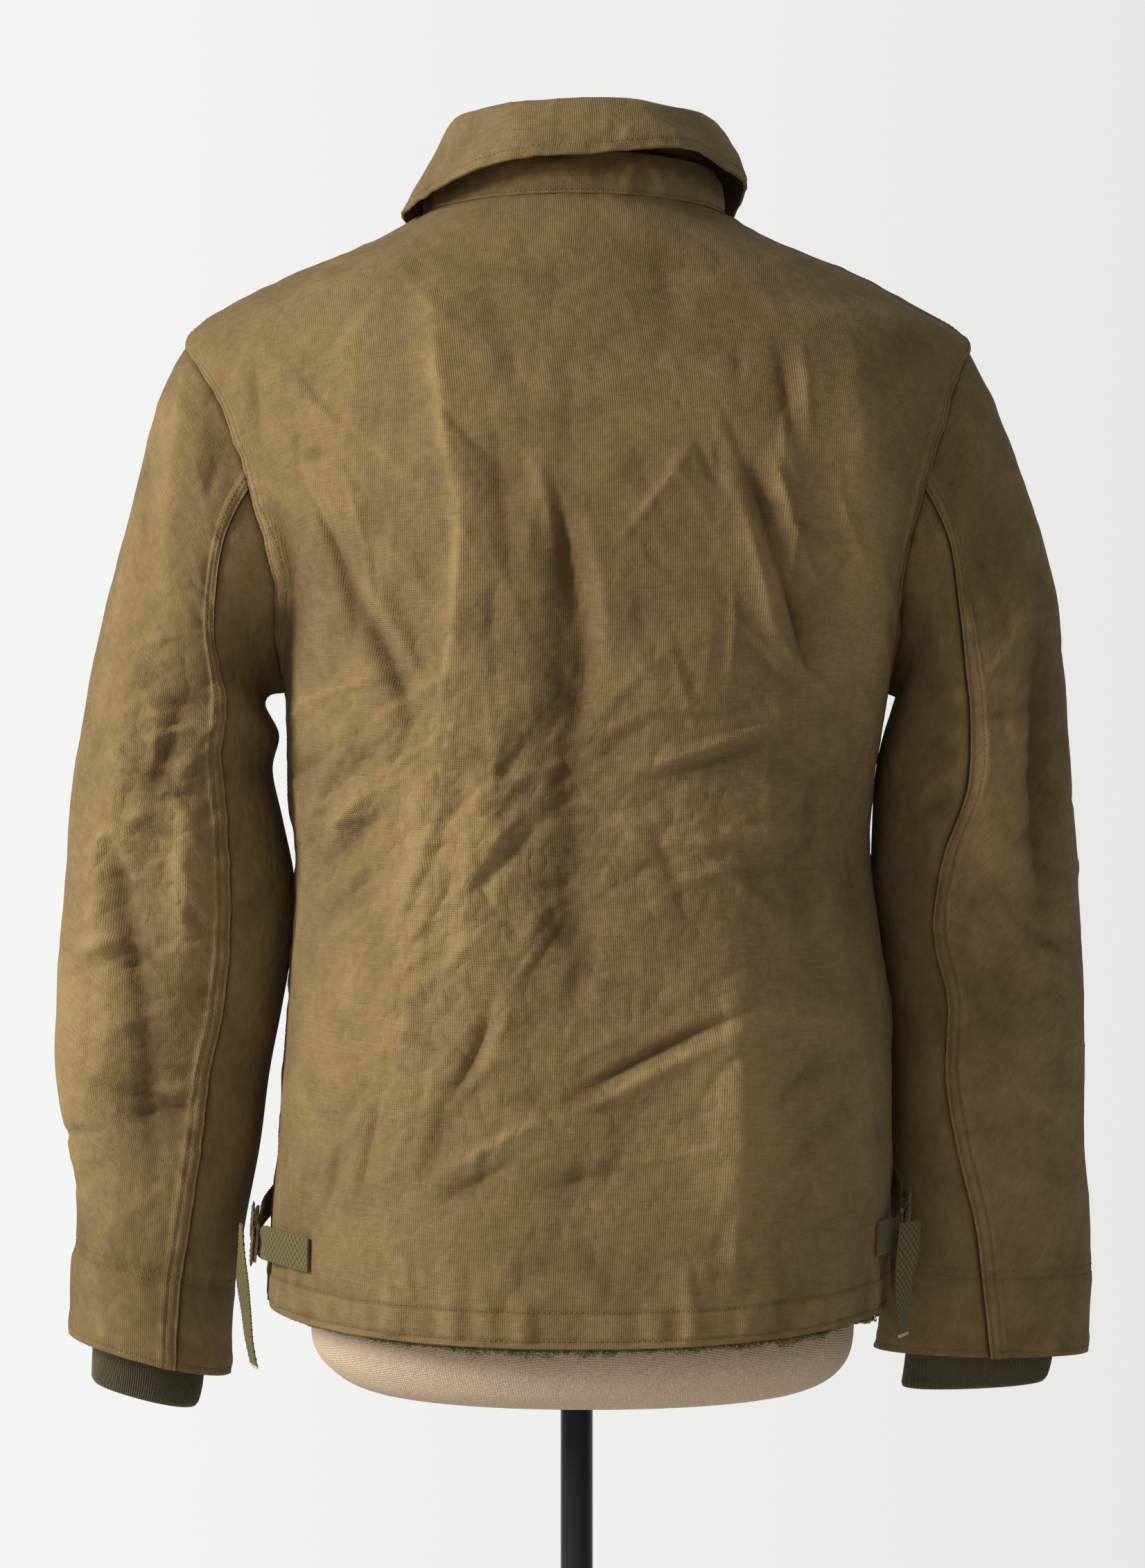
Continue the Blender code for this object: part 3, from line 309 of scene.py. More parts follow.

# %% [markdown]
# ## Folds
#
# Washed canvas keeps the folds that its wearer made: long soft ones that hang from the shoulders,
# sharper creases that fan out from the underarm and across the small of the back, and a web of
# small crumples between them. The long ones are listed here, one row each: the two ends in picture
# pixels, the bow of the line between them, the half width, the depth in millimetres (negative
# sinks), and a lean that makes one flank steeper. A fold that runs down bows and leans to the
# right, and one that runs right bows and leans up.

# %%
FOLD_COLUMNS = ("x_0", "y_0", "x_1", "y_1", "bow", "width", "depth", "lean")
BACK_FOLDS = (
    (620, 390, 668, 760, -8, 30, 5.5, 0.4),      # ridge from the left shoulder blade, in three lengths
    (668, 640, 622, 1130, 12, 30, 5.0, 0.4),
    (634, 1010, 572, 1680, -12, 50, 5.0, 0.2),
    (700, 560, 736, 900, 8, 34, -3.5, 0.0),
    (392, 690, 416, 1010, 0, 26, -8.0, 0.0),     # hollow behind the left sleeve
    (1226, 450, 1262, 1240, 10, 58, 9.0, -0.3),  # the right shoulder blade
    (1046, 1330, 1066, 1880, 6, 72, 8.0, 0.0),   # the skirt turns away to the right of it
    (690, 1090, 672, 1500, -6, 42, 4.5, 0.0),
    (806, 560, 812, 1640, 10, 64, -6.5, 0.0),    # the middle of the back sinks in
    (940, 310, 984, 520, 0, 54, -3.5, 0.0),
    (764, 640, 806, 820, 4, 20, 3.4, 0.4),       # the long crease at the middle
    (798, 690, 846, 960, 4, 14, -7.5, -0.4),
    (846, 900, 828, 1080, 4, 14, -6.5, -0.3),
    (838, 700, 880, 1010, 8, 24, 3.6, 0.2),
    (1078, 652, 1128, 830, 2, 14, -6.5, 0.4),    # strong line towards the right underarm
    (1116, 780, 1172, 990, 2, 14, -7.5, 0.4),
    (1050, 660, 1130, 980, 4, 22, 3.6, 0.0),
    (1110, 650, 1150, 800, 4, 14, 3.0, 0.0),
    (1118, 480, 1140, 650, 4, 14, -2.6, 0.3),
    (1150, 470, 1164, 640, 4, 16, 2.4, 0.0),
    (426, 650, 500, 830, 4, 15, 3.6, 0.3),       # lines from the left armhole to the waist
    (440, 690, 520, 930, 6, 15, -6.8, 0.4),
    (506, 860, 604, 1070, 4, 16, -7.0, 0.3),
    (500, 800, 616, 990, 4, 18, 3.8, 0.0),
    (540, 800, 626, 1000, 4, 15, -2.6, 0.0),
    (406, 508, 560, 676, -4, 12, -2.8, 0.2),
    (400, 560, 540, 640, 4, 18, 2.2, 0.2),
    (424, 668, 486, 650, 0, 10, -3.0, 0.2),
    (366, 500, 372, 660, -3, 13, -4.0, -0.3),    # dimple beside the left armhole
    (1010, 620, 876, 800, 4, 12, 2.4, 0.3),
    (996, 626, 1042, 712, 2, 10, -2.2, 0.0),
    (444, 1176, 580, 1060, 8, 14, -3.4, 0.3),    # creases that fan over the waist
    (444, 1276, 596, 1140, 8, 15, -5.0, 0.3),
    (440, 1240, 570, 1120, 8, 15, 3.4, 0.0),
    (452, 1350, 570, 1236, 6, 14, -2.6, 0.2),
    (664, 1302, 792, 1168, -6, 11, -3.0, 0.3),
    (660, 1256, 770, 1150, -6, 15, 3.2, 0.0),
    (774, 1180, 852, 1130, -3, 12, -3.0, 0.2),
    (700, 1300, 756, 1370, 4, 11, -3.0, 0.2),
    (742, 1390, 806, 1290, 4, 12, 2.8, 0.2),
    (812, 1380, 858, 1306, 4, 11, -3.0, 0.0),
    (838, 1062, 884, 1130, -4, 10, 3.2, 0.2),
    (876, 1118, 1176, 1016, -8, 12, 3.6, -0.4),  # long thin line up to the right underarm
    (884, 1142, 1190, 1036, -8, 12, -3.0, 0.2),
    (900, 1220, 1240, 1190, -6, 12, 1.8, 0.0),
    (716, 1420, 632, 1610, 12, 14, -5.0, 0.4),   # bowed line down the left of the skirt
    (744, 1400, 668, 1590, 12, 20, 3.6, 0.0),
    (640, 1590, 612, 1720, 4, 16, -3.4, 0.2),
    (556, 1480, 660, 1532, 3, 11, -2.6, 0.0),
    (868, 1290, 814, 1470, 6, 13, -3.0, 0.0),
    (1112, 1440, 784, 1608, -6, 13, -6.0, 0.4),  # broad crease across the skirt
    (1110, 1470, 790, 1632, -6, 18, 4.6, 0.0),
    (820, 1600, 620, 1706, -6, 16, 3.8, 0.3),
    (760, 1660, 616, 1742, 4, 14, -3.4, 0.3),
    (1216, 1484, 1094, 1612, 4, 15, -2.8, 0.0),
    (1240, 1560, 1120, 1700, 4, 15, -2.8, 0.0),
    (924, 1160, 1000, 1350, 6, 15, -2.2, 0.0),
    (1120, 1266, 1236, 1160, 5, 14, -2.6, 0.2),
    (750, 1730, 930, 1684, 4, 14, -2.2, 0.0),
    (460, 1666, 556, 1536, 4, 15, -2.6, 0.2),
    (1000, 1226, 1140, 1346, 6, 15, 2.2, -0.3),
    (690, 420, 762, 600, 6, 24, -1.6, 0.0),
    (566, 404, 460, 540, 4, 20, 2.0, 0.2),
)

# %%
LEFT_SLEEVE_FOLDS = (
    (112, 1320, 128, 1780, -8, 62, 8.0, 0.0),    # broad ridge on the forearm's outside
    (320, 540, 352, 720, 0, 24, -7.0, 0.0),      # hollow below the armhole
    (198, 1370, 228, 1720, 0, 42, -7.0, 0.0),
    (160, 1180, 218, 1510, -8, 28, -8.0, 0.3),   # long dark hollow down the forearm
    (134, 1180, 172, 1480, -8, 24, 5.0, 0.0),
    (252, 1130, 262, 1400, 4, 24, 6.0, 0.3),
    (176, 1620, 304, 1598, 3, 12, -5.5, 0.2),
    (180, 1586, 310, 1566, 3, 16, 3.0, 0.0),
    (98, 1412, 204, 1370, 3, 12, -4.5, 0.2),
    (100, 1384, 200, 1344, 3, 13, 3.4, 0.0),
    (273, 481, 241, 929, -8, 24, 2.8, -0.3),
    (317, 646, 295, 730, 0, 12, -3.1, 0),
    (266, 994, 196, 1197, 6, 26, -5.6, 0.3),    # dark hollow at the elbow
    (183, 1203, 283, 1196, -4, 9, -3.1, 0),
    (170, 1182, 276, 1150, -4, 13, 2.6, 0),
    (144, 1076, 249, 1416, -12, 15, 3.4, 0.3),   # ridge that runs down from the elbow
    (220, 1370, 144, 1414, 4, 11, -3.1, 0),
    (425, 1366, 325, 1484, 4, 17, 2.8, 0),
    (164, 1251, 236, 1347, 6, 13, -3.1, 0),
    (295, 1243, 385, 1193, 4, 14, -3.1, 0),
    (325, 1031, 379, 1117, 4, 12, -3, 0),
    (109, 1509, 273, 1453, 6, 15, 2.2, 0.3),
    (120, 1558, 264, 1594, -6, 14, -3, 0.3),
    (285, 1704, 347, 1632, 4, 13, -3, 0),
    (194, 758, 164, 982, -6, 20, 2.2, 0),
    (217, 629, 205, 831, -4, 18, -2.2, 0),
    (349, 873, 373, 1007, 6, 12, -3.1, 0),
    (111, 1303, 205, 1247, 4, 13, -2.6, 0),
    (326, 1332, 394, 1288, 4, 13, -2.8, 0),
)
RIGHT_SLEEVE_FOLDS = (
    (1420, 850, 1440, 1340, -8, 46, 7.0, 0.0),
    (1500, 870, 1506, 1360, -6, 34, -9.0, 0.3),   # long hollow and ridges down the sleeve
    (1546, 900, 1552, 1390, -6, 24, 4.0, 0.0),
    (1394, 900, 1404, 1300, 0, 26, 4.0, 0.0),
    (1298, 1170, 1384, 1112, 3, 13, 5.0, 0.2),
    (1300, 1200, 1386, 1146, 3, 13, -4.5, 0.2),
    (1450, 1318, 1560, 1396, 4, 13, -3.4, 0.2),
    (1296, 900, 1352, 912, 3, 11, 4.5, 0.0),
    (1346, 1022, 1444, 1020, 3, 11, -4.0, 0.2),
    (1319, 455, 1463, 727, -12, 20, 2.8, 0),
    (1502, 744, 1460, 848, 4, 15, 2.8, -0.3),
    (1287, 933, 1335, 989, 4, 15, -5, 0),    # hollows below the underarm
    (1346, 1027, 1422, 1038, -3, 9, -3.7, 0),
    (1338, 1004, 1412, 1006, 3, 12, 2.6, 0),
    (1416, 1043, 1371, 1097, 4, 11, -3.1, 0),
    (1474, 839, 1514, 1423, -34, 30, 3.1, 0.3),  # soft ridge down the middle
    (1391, 1241, 1479, 1339, 4, 15, -3, 0),
    (1489, 1494, 1393, 1566, 4, 16, -3, 0),
    (1543, 1039, 1483, 1139, 4, 14, -2.6, 0),
    (1336, 1164, 1380, 1396, 6, 16, 2.6, 0),
    (1343, 1628, 1407, 1552, 4, 14, -2.6, 0),
    (1317, 1415, 1365, 1505, 4, 14, -3, 0),
    (1504, 1176, 1426, 1244, 4, 14, -2.6, 0.2),
    (1548, 1397, 1476, 1455, 4, 14, -2.2, 0),
)

# %% [markdown]
# The front isn't in the photograph. It gets folds of the same sizes and kinds, in the places
# where a jacket that hangs on a form creases: from the collar to the chest, at the waist, and
# inside the bent elbows.

# %%
FRONT_FOLDS = (
    (557, 444, 607, 926, -8, 30, 2.8, 0.3),
    (462, 671, 612, 1029, 8, 20, -4.3, 0.3),
    (1188, 661, 1042, 1009, -8, 20, -4.3, -0.3),
    (1092, 455, 1058, 925, 8, 30, 2.8, -0.3),
    (691, 548, 675, 772, 4, 16, -2.6, 0),
    (979, 587, 1001, 833, 4, 16, -3, 0),
    (429, 1174, 641, 1286, 8, 17, -3.7, 0.3),
    (1226, 1169, 998, 1307, -8, 17, -3.7, 0.3),
    (443, 1225, 609, 1315, 8, 18, 2.2, 0),
    (489, 1635, 701, 1505, 8, 18, -4, 0.3),
    (1197, 1652, 985, 1534, -8, 18, -4, 0.3),
    (561, 1375, 539, 1577, 6, 16, -3, 0),
    (1111, 1373, 1085, 1507, 6, 16, -3, 0),
    (635, 1056, 725, 1134, 4, 14, -2.6, 0),
    (935, 1094, 1035, 1026, 4, 14, -2.6, 0),
    (465, 1482, 565, 1438, 4, 14, 1.9, 0),
    (925, 1688, 1025, 1732, 4, 14, -2.2, 0),
)
LEFT_SLEEVE_FRONT_FOLDS = (
    (109, 1245, 345, 1145, 10, 17, -4, 0.3),
    (106, 1195, 332, 1105, 10, 17, 2.6, 0),
    (124, 1003, 310, 947, 8, 16, -3.1, 0.3),
    (137, 1464, 309, 1396, 8, 15, -2.8, 0),
    (237, 542, 219, 878, -6, 22, 3, 0),
    (121, 1642, 289, 1598, 6, 14, -2.6, 0),
)
RIGHT_SLEEVE_FRONT_FOLDS = (
    (1546, 1235, 1318, 1135, -10, 17, -4, 0.3),
    (1541, 1185, 1329, 1099, -10, 17, 2.6, 0),
    (1526, 992, 1340, 948, -8, 16, -3.1, 0.3),
    (1540, 1473, 1350, 1417, -8, 15, -2.8, 0),
    (1419, 542, 1441, 878, 6, 22, 3, 0),
    (1550, 1642, 1370, 1608, -6, 14, -2.6, 0),
)

# %% [markdown]
# Between the placed folds lie many small creases. They are scattered over fields: a middle and a
# reach, the creases' heading in degrees (0 runs across, 90 down, negative rises to the right),
# its spread, how many there are, their length and their depth. They crowd at the waist and the
# elbows, where the cloth was bent most.

# %%
CREASE_COLUMNS = ("x", "y", "reach_x", "reach_y", "heading", "spread", "count", "length", "depth")
BACK_CREASES = (
    (520, 1180, 120, 190, -38, 18, 26, 130, 1.5),
    (720, 1230, 150, 190, -52, 32, 34, 110, 1.5),
    (980, 1160, 210, 170, -14, 20, 26, 150, 1.2),
    (700, 1560, 230, 200, -58, 18, 22, 150, 1.3),
    (1040, 1540, 180, 180, -28, 18, 18, 150, 1.2),
    (470, 800, 110, 190, 60, 16, 14, 120, 1.3),
    (820, 800, 260, 220, 80, 18, 26, 140, 1.1),
    (1180, 780, 90, 190, 70, 16, 12, 130, 1.3),
    (800, 450, 330, 110, 30, 40, 18, 120, 0.7),
    (820, 1830, 400, 40, 86, 12, 44, 50, 1.0),
)
LEFT_SLEEVE_CREASES = (
    (250, 1060, 110, 150, -28, 26, 34, 100, 1.7),
    (230, 1330, 110, 140, 30, 34, 26, 100, 1.5),
    (240, 720, 90, 190, 74, 18, 16, 120, 1.1),
    (210, 1620, 110, 140, -12, 30, 22, 90, 1.2),
)
RIGHT_SLEEVE_CREASES = (
    (1400, 1010, 80, 130, -8, 26, 26, 90, 1.7),
    (1450, 1290, 90, 150, 34, 30, 26, 100, 1.5),
    (1430, 740, 90, 180, 68, 18, 14, 120, 1.1),
    (1450, 1620, 90, 140, 10, 30, 20, 90, 1.2),
)
ZONE_COLUMNS = ("x", "y", "reach_x", "reach_y", "amount")
CRUMPLED_ZONES = (
    (640, 1220, 260, 260, 0.9),
    (1050, 1180, 200, 160, 0.5),
    (800, 1600, 330, 170, 0.4),
    (240, 1120, 130, 230, 0.9),
    (1430, 1100, 130, 240, 0.8),
    (220, 1600, 120, 160, 0.5),
    (1450, 1600, 120, 160, 0.4),
)

# %% [markdown]
# A fold's section is a rounded crest with a long tail, which is how stiff cloth bends. Each fold
# only shows on the side of the garment that it is listed for.

# %%
def fold_height(points, facing, folds, side):
    """How far folds lift or sink the cloth. facing is the y of its normals, side -1 for the back."""
    across_x, down_y = picture(points)
    seen = np.clip(facing * side * 2.5, 0, 1)
    total = np.zeros(across_x.shape)
    for x_0, y_0, x_1, y_1, bow, width, depth, lean in folds:
        run = math.hypot(x_1 - x_0, y_1 - y_0)
        ux, uy = (x_1 - x_0) / run, (y_1 - y_0) / run
        t = ((across_x - x_0) * ux + (down_y - y_0) * uy) / run
        across = (across_x - x_0) * uy - (down_y - y_0) * ux
        across = across - bow * np.sin(np.pi * np.clip(t, 0, 1))
        d = across / (width * (1 + lean * np.sign(across)))
        crest = np.exp(-1.5 * (np.sqrt(d * d + 0.03) - 0.173))
        ends = ease(np.minimum(t, 1 - t) + 0.06, 0.5)
        total += depth * crest * ends
    return total * seen


def creases(fields):
    """Rows of small creases scattered over fields, in the columns of a fold table."""
    made = []
    for x, y, reach_x, reach_y, angle, turn, count, length, depth in fields:
        for _ in range(count):
            run = length * RANDOM.uniform(0.7, 2.0) / 2
            heading = math.radians(angle + turn * RANDOM.normal())
            middle_x, middle_y = x + reach_x * RANDOM.uniform(-1, 1), y + reach_y * RANDOM.uniform(-1, 1)
            along_x, along_y = run * math.cos(heading), run * math.sin(heading)
            sign = RANDOM.choice((-1, 1))
            made.append((
                middle_x - along_x, middle_y - along_y, middle_x + along_x, middle_y + along_y,
                0.08 * run * RANDOM.normal(), RANDOM.uniform(7, 11), sign * depth * RANDOM.uniform(0.5, 1.5),
                RANDOM.uniform(-0.5, 0.5)))
    return made


def noise(points, size, seed):
    """Smooth random heights from -1 to 1, with bumps of that size in millimetres."""
    place = points / size + seed * 7.31
    cell = np.floor(place).astype(np.int64)
    f = place - cell
    f = f * f * f * (f * (f * 6 - 15) + 10)
    total = np.zeros(points.shape[:-1])
    for i, j, k in np.ndindex(2, 2, 2):
        corner = cell + (i, j, k)
        mixed = corner[..., 0] * 73856093 ^ corner[..., 1] * 19349663 ^ corner[..., 2] * 83492791
        key = mixed ^ seed * 2654435
        key = (key ^ (key >> 13)) * 1274126177 & 0xFFFFFFFF
        value = ((key ^ (key >> 15)) & 0xFFFF) / 32767.5 - 1
        weight = np.where(i, f[..., 0], 1 - f[..., 0]) * np.where(j, f[..., 1], 1 - f[..., 1])
        total += value * weight * np.where(k, f[..., 2], 1 - f[..., 2])
    return total


def crumpled(points):
    """How crumpled the cloth is, from about 0.45 where it hangs smooth to 1.4 where it was bent most."""
    across_x, down_y = picture(points)
    zones = (
        (amount, (across_x - x) / wide, (down_y - y) / tall)
        for x, y, wide, tall, amount in CRUMPLED_ZONES)
    return 0.45 + sum(amount * np.exp(-u * u - v * v) for amount, u, v in zones)


def crumple(points):
    """The web of small creases, in millimetres: sharp where two facets meet."""
    bent = points + 16 * noise(points, 48, 3)[..., None] + 7 * noise(points, 23, 4)[..., None] * (1, 0, -1)
    large = 1 - 2 * np.abs(noise(bent * (1, 1, 0.6), 44, 5))
    medium = 1 - 2 * np.abs(noise(bent * (1, 1, 0.8), 21, 8))
    return 1.1 * large + 0.55 * medium + 0.15 * noise(points, 9, 11)

# %% [markdown]
# ## From a surface to a piece of cloth
#
# A `Cloth` keeps a grid of points, their normals and the distance of each point from the grid's
# four edges. Those distances place everything that a sewing machine would: the raised band of a
# lapped seam, the dents of its two rows of stitches, and the puckers that thread pulls in.

# %%
class Cloth:
    """A fine grid of points on a surface, and how far each lies from the grid's edges."""

    def __init__(self, points, outward):
        self.points = points
        self.outward = outward
        self.lift = np.zeros(points.shape[:2])
        self.tone = np.zeros(points.shape[:2])
        self.rough = crumpled(points)
        across = np.linalg.norm(np.diff(points, axis=1), axis=-1)
        down = np.linalg.norm(np.diff(points, axis=0), axis=-1)
        self.first = np.pad(np.cumsum(across, 1), ((0, 0), (1, 0)))
        self.last = self.first[:, -1:] - self.first
        self.low = np.pad(np.cumsum(down, 0), ((1, 0), (0, 0)))
        self.high = self.low[-1:] - self.low
        self.uv = np.stack([self.first - self.first[:, -1:] / 2, self.low], -1)
        self.flat = (self.first[:, -1].max() * MM, self.low[-1].max() * MM)
        side_a, side_b = points[1:, 1:] - points[:-1, :-1], points[1:, :-1] - points[:-1, 1:]
        self.area = np.linalg.norm(np.cross(side_a, side_b), axis=-1).sum() / 2 * MM * MM

    def raise_by(self, height, painted_by_height=True):
        """Moves the cloth out of its surface by height, in millimetres. Unless told otherwise, raised cloth is
        painted lighter and sunk cloth darker, from rubbing and dirt and as painted highlight and painted shade.
        """
        self.points = self.points + np.asarray(height)[..., None] * self.outward
        if painted_by_height:
            self.lift = self.lift + height

    def pad(self, axis, end, along_cloth, out):
        """Adds a line of points beyond an edge, set back along the cloth and out of it."""
        edge, inside = (0, 1) if end < 0 else (-1, -2)
        at = np.take(self.points, edge, axis)
        into = unit(np.take(self.points, inside, axis) - at)
        line = at + along_cloth * into + out * np.take(self.outward, edge, axis)
        for name, value in (
            ("points", line), ("outward", None), ("lift", None), ("tone", None), ("rough", None),
            ("uv", None),
        ):
            grid = getattr(self, name)
            value = np.take(grid, edge, axis) if value is None else value
            parts = [np.expand_dims(value, axis), grid]
            setattr(self, name, np.concatenate(parts[:: -1 if end > 0 else 1], axis))

    def turn_in(self, thickness):
        """Rounds the four edges and turns them in, so that they look as thick as the cloth is."""
        for axis in (0, 1):
            for end in (-1, 1):
                self.pad(axis, end, -0.25, -0.4 * thickness)
                self.pad(axis, end, 0.5, -0.6 * thickness)
                self.pad(axis, end, 0, -0.1)

    def line(self, distance, value):
        """Points and normals where a distance from a side edge reaches value, one for each row."""
        return follow(self.points, self.outward, distance, value)

    def line_down(self, distance, value):
        """The same for a distance from the top or bottom edge, one for each column."""
        return follow(self.points.swapaxes(0, 1), self.outward.swapaxes(0, 1), distance.T, value)


def follow(points, outward, distance, value):
    """Points and normals of each grid line at the place where distance reaches value."""
    spots = []
    facing = []
    for p, n, d in zip(points, outward, distance):
        order = np.argsort(d)
        spots.append([np.interp(value, d[order], p[order, k]) for k in range(3)])
        facing.append([np.interp(value, d[order], n[order, k]) for k in range(3)])
    return np.array(spots), unit(np.array(facing))

# %%
def lapped(distance, points):
    """Height of a lapped seam's band: raised, dented by two rows of stitches, and puckered."""
    band = 1.7 * (1 - ease(distance - LAP, 2.0))
    near, far = (distance - STITCH_NEAR) / 0.9, (distance - STITCH_FAR) / 0.9
    dents = -0.6 * (np.exp(-near ** 2) + np.exp(-far ** 2))
    puckers = (1.1 * noise(points, 9, 21) + 0.9 * noise(points, 26, 22)) * np.exp(-((distance - 4) / 9) ** 2)
    return band + dents + puckers


def lapped_tone(distance):
    """A lapped seam is painted pale at its edge, from rubbing and as a painted highlight, and dark in its rows
    of stitches, from dirt and as painted shade in their dents.
    """
    rows = np.exp(-((distance - STITCH_NEAR) / 0.8) ** 2) + np.exp(-((distance - STITCH_FAR) / 0.8) ** 2)
    return 0.3 * np.exp(-distance / 1.2) - 0.3 * rows


def tucked_under(distance):
    """Depth of an edge that lies under its neighbour's lapped band."""
    return -0.6 * (1 - ease(distance, 9)) - 1.3 * (1 - ease(distance, 2.4))


def hem_band(distance, points, rows, width):
    """Height of a turned hem: raised, dented at its rows of stitches, and puckered above them."""
    band = 0.7 * (1 - ease(distance - width, 2.5))
    dents = sum(-0.55 * np.exp(-((distance - row) / 1.0) ** 2) for row in rows)
    upright = noise(points * (1, 1, 0.26), 10.5, 31)
    return band + dents + 2.1 * upright * ease(distance, 6) * (1 - ease(distance - width, 22))


def spaced(length, step):
    """Shares of a length: close together near both ends, then evenly spaced."""
    close = np.array([0, 0.7, 1.4, 2.1, 2.9, 4, 5.3, 6.5, 7.3, 8.1, 9.2, 11, 13.5])
    count = max(int((length - 2 * close[-1]) / step), 4)
    middle = np.linspace(close[-1], length - close[-1], count)
    return np.concatenate([close, middle[1:-1], (length - close)[::-1]]) / length


def rows_for(surface, angle, low, high, step, keep=()):
    """Ring numbers whose points lie evenly along the surface, from ring low to ring high."""
    rings = np.linspace(low, high, 400)
    path = surface(rings, np.full_like(rings, angle))
    length = np.concatenate([[0], np.cumsum(np.linalg.norm(np.diff(path, axis=0), axis=1))])
    return np.unique(np.concatenate([np.interp(spaced(length[-1], step) * length[-1], length, rings), keep]))

# %% [markdown]
# ### Meshes
#
# `cloth_mesh` turns a grid into an object with texture coordinates in metres along the thread, and
# a value that paints the cloth lighter where it stands proud and darker where it sinks, from rubbing
# and dirt and also as painted highlight and painted shade. Open edges are rounded and turned in, so
# that they look as thick as the cloth is. Stitches are joined, one mesh for each group.

# %%
def grid_faces(rows, columns, ring=False):
    """Index squares of a grid."""
    index = np.arange(rows * columns).reshape(rows, columns)
    if ring:
        index = np.concatenate([index, index[:, :1]], 1)
    return np.stack([index[:-1, :-1], index[:-1, 1:], index[1:, 1:], index[1:, :-1]], -1).reshape(-1, 4)


def mesh_object(name, points, faces, material, smooth=True):
    """A named object from points in millimetres and a table of faces."""
    mesh = bpy.data.meshes.new(name)
    faces = np.asarray(faces)
    mesh.vertices.add(len(points))
    mesh.vertices.foreach_set("co", (np.asarray(points, float) * MM).astype(np.float32).ravel())
    mesh.loops.add(faces.size)
    mesh.loops.foreach_set("vertex_index", faces.astype(np.int32).ravel())
    mesh.polygons.add(len(faces))
    mesh.polygons.foreach_set("loop_start", np.arange(0, faces.size, faces.shape[1], dtype=np.int32))
    mesh.update(calc_edges=True)
    mesh.polygons.foreach_set("use_smooth", np.full(len(faces), smooth))
    mesh.materials.append(material)
    obj = bpy.data.objects.new(name, mesh)
    bpy.context.scene.collection.objects.link(obj)
    return obj


def set_uv(obj, uv):
    """Texture coordinates in metres, one for each point."""
    corners = np.zeros(len(obj.data.loops), np.int32)
    obj.data.loops.foreach_get("vertex_index", corners)
    layer = obj.data.uv_layers.new(name="thread")
    layer.data.foreach_set("uv", (uv.reshape(-1, 2)[corners] * MM).astype(np.float32).ravel())


def dress(obj, node):
    """obj rides on the part, and stands in for a CAD node, which is hidden."""
    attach(obj, "root")
    if node:
        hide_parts(node)
    return obj

# %%
def cloth_mesh(name, cloth, material, node=None, thickness=SHELL, ring=False):
    """The object for a Cloth. The edges of an open one are turned in."""
    if not ring:
        cloth.turn_in(thickness)
    rows, columns = cloth.points.shape[:2]
    faces = grid_faces(rows, columns, ring)
    a, b, d = (cloth.points.reshape(-1, 3)[faces[:, k]] for k in (0, 1, 3))
    facing = np.einsum("ij,ij->i", np.cross(b - a, d - a), cloth.outward.reshape(-1, 3)[faces[:, 0]])
    if facing.sum() < 0:
        faces = faces[:, ::-1]
    points = cloth.points + (GARMENT_X, 0, 0)
    obj = mesh_object(name, points.reshape(-1, 3), faces, material)
    set_uv(obj, cloth.uv)
    # Cloth that stands proud is painted lighter and sunk cloth darker, from rubbing and dirt and as painted
    # highlight and painted shade; tone adds the painted seam lines and stitch rows.
    wear = np.clip(0.5 + 0.085 * cloth.lift + cloth.tone, 0, 1)
    for key, value in (("wear", wear), ("rough", cloth.rough)):
        layer = obj.data.attributes.new(key, "FLOAT", "POINT")
        layer.data.foreach_set("value", value.astype(np.float32).ravel())
    return dress(obj, node)


STITCHES = {}


def sew(group, line, pitch=STITCH_PITCH, skip=0.0):
    """Adds a row of stitches along a line of points and normals to a group."""
    points, outward = line
    length = np.concatenate([[0], np.cumsum(np.linalg.norm(np.diff(points, axis=0), axis=1))])
    at = np.arange(skip + pitch / 2, length[-1] - skip, pitch)
    at = at + RANDOM.normal(0, 0.08, len(at))
    centre = np.stack([np.interp(at, length, points[:, k]) for k in range(3)], -1)
    ahead = np.stack([np.interp(at + 0.5, length, points[:, k]) for k in range(3)], -1) - centre
    up = unit(np.stack([np.interp(at, length, outward[:, k]) for k in range(3)], -1))
    forward = unit(ahead + RANDOM.normal(0, 0.02, ahead.shape))
    up = unit(up - forward * (up * forward).sum(-1, keepdims=True))
    STITCHES.setdefault(group, []).append((centre, forward, up))

# %%
def stitch_mesh(group, material, length=2.35, radius=0.34):
    """One joined mesh of every stitch of a group. Each is a small bead of thread."""
    stations = ((-0.5, 0.3, -0.5), (-0.28, 1.0, 0.3), (0.28, 1.0, 0.3), (0.5, 0.3, -0.5))
    sides = 5
    centre, forward, up = (np.concatenate(part) for part in zip(*STITCHES[group]))
    side = np.cross(forward, up)
    turn = 2 * np.pi * np.arange(sides) / sides
    rings = []
    for share, size, rise in stations:
        spoke = side[:, None] * np.cos(turn)[None, :, None] + up[:, None] * np.sin(turn)[None, :, None]
        middle = centre + forward * length * share + up * (rise * radius)
        rings.append(middle[:, None] + spoke * radius * size)
    points = np.stack(rings, 1)
    count = points.shape[0]
    base = grid_faces(len(stations), sides, ring=True)
    faces = (np.arange(count)[:, None, None] * len(stations) * sides + base).reshape(-1, 4)
    name = f"stitches_{group}"
    obj = mesh_object(name, points.reshape(-1, 3) + (GARMENT_X, 0, 0), faces[:, ::-1], material)
    print(f"stitches {group}: {count}")
    return dress(obj, None)

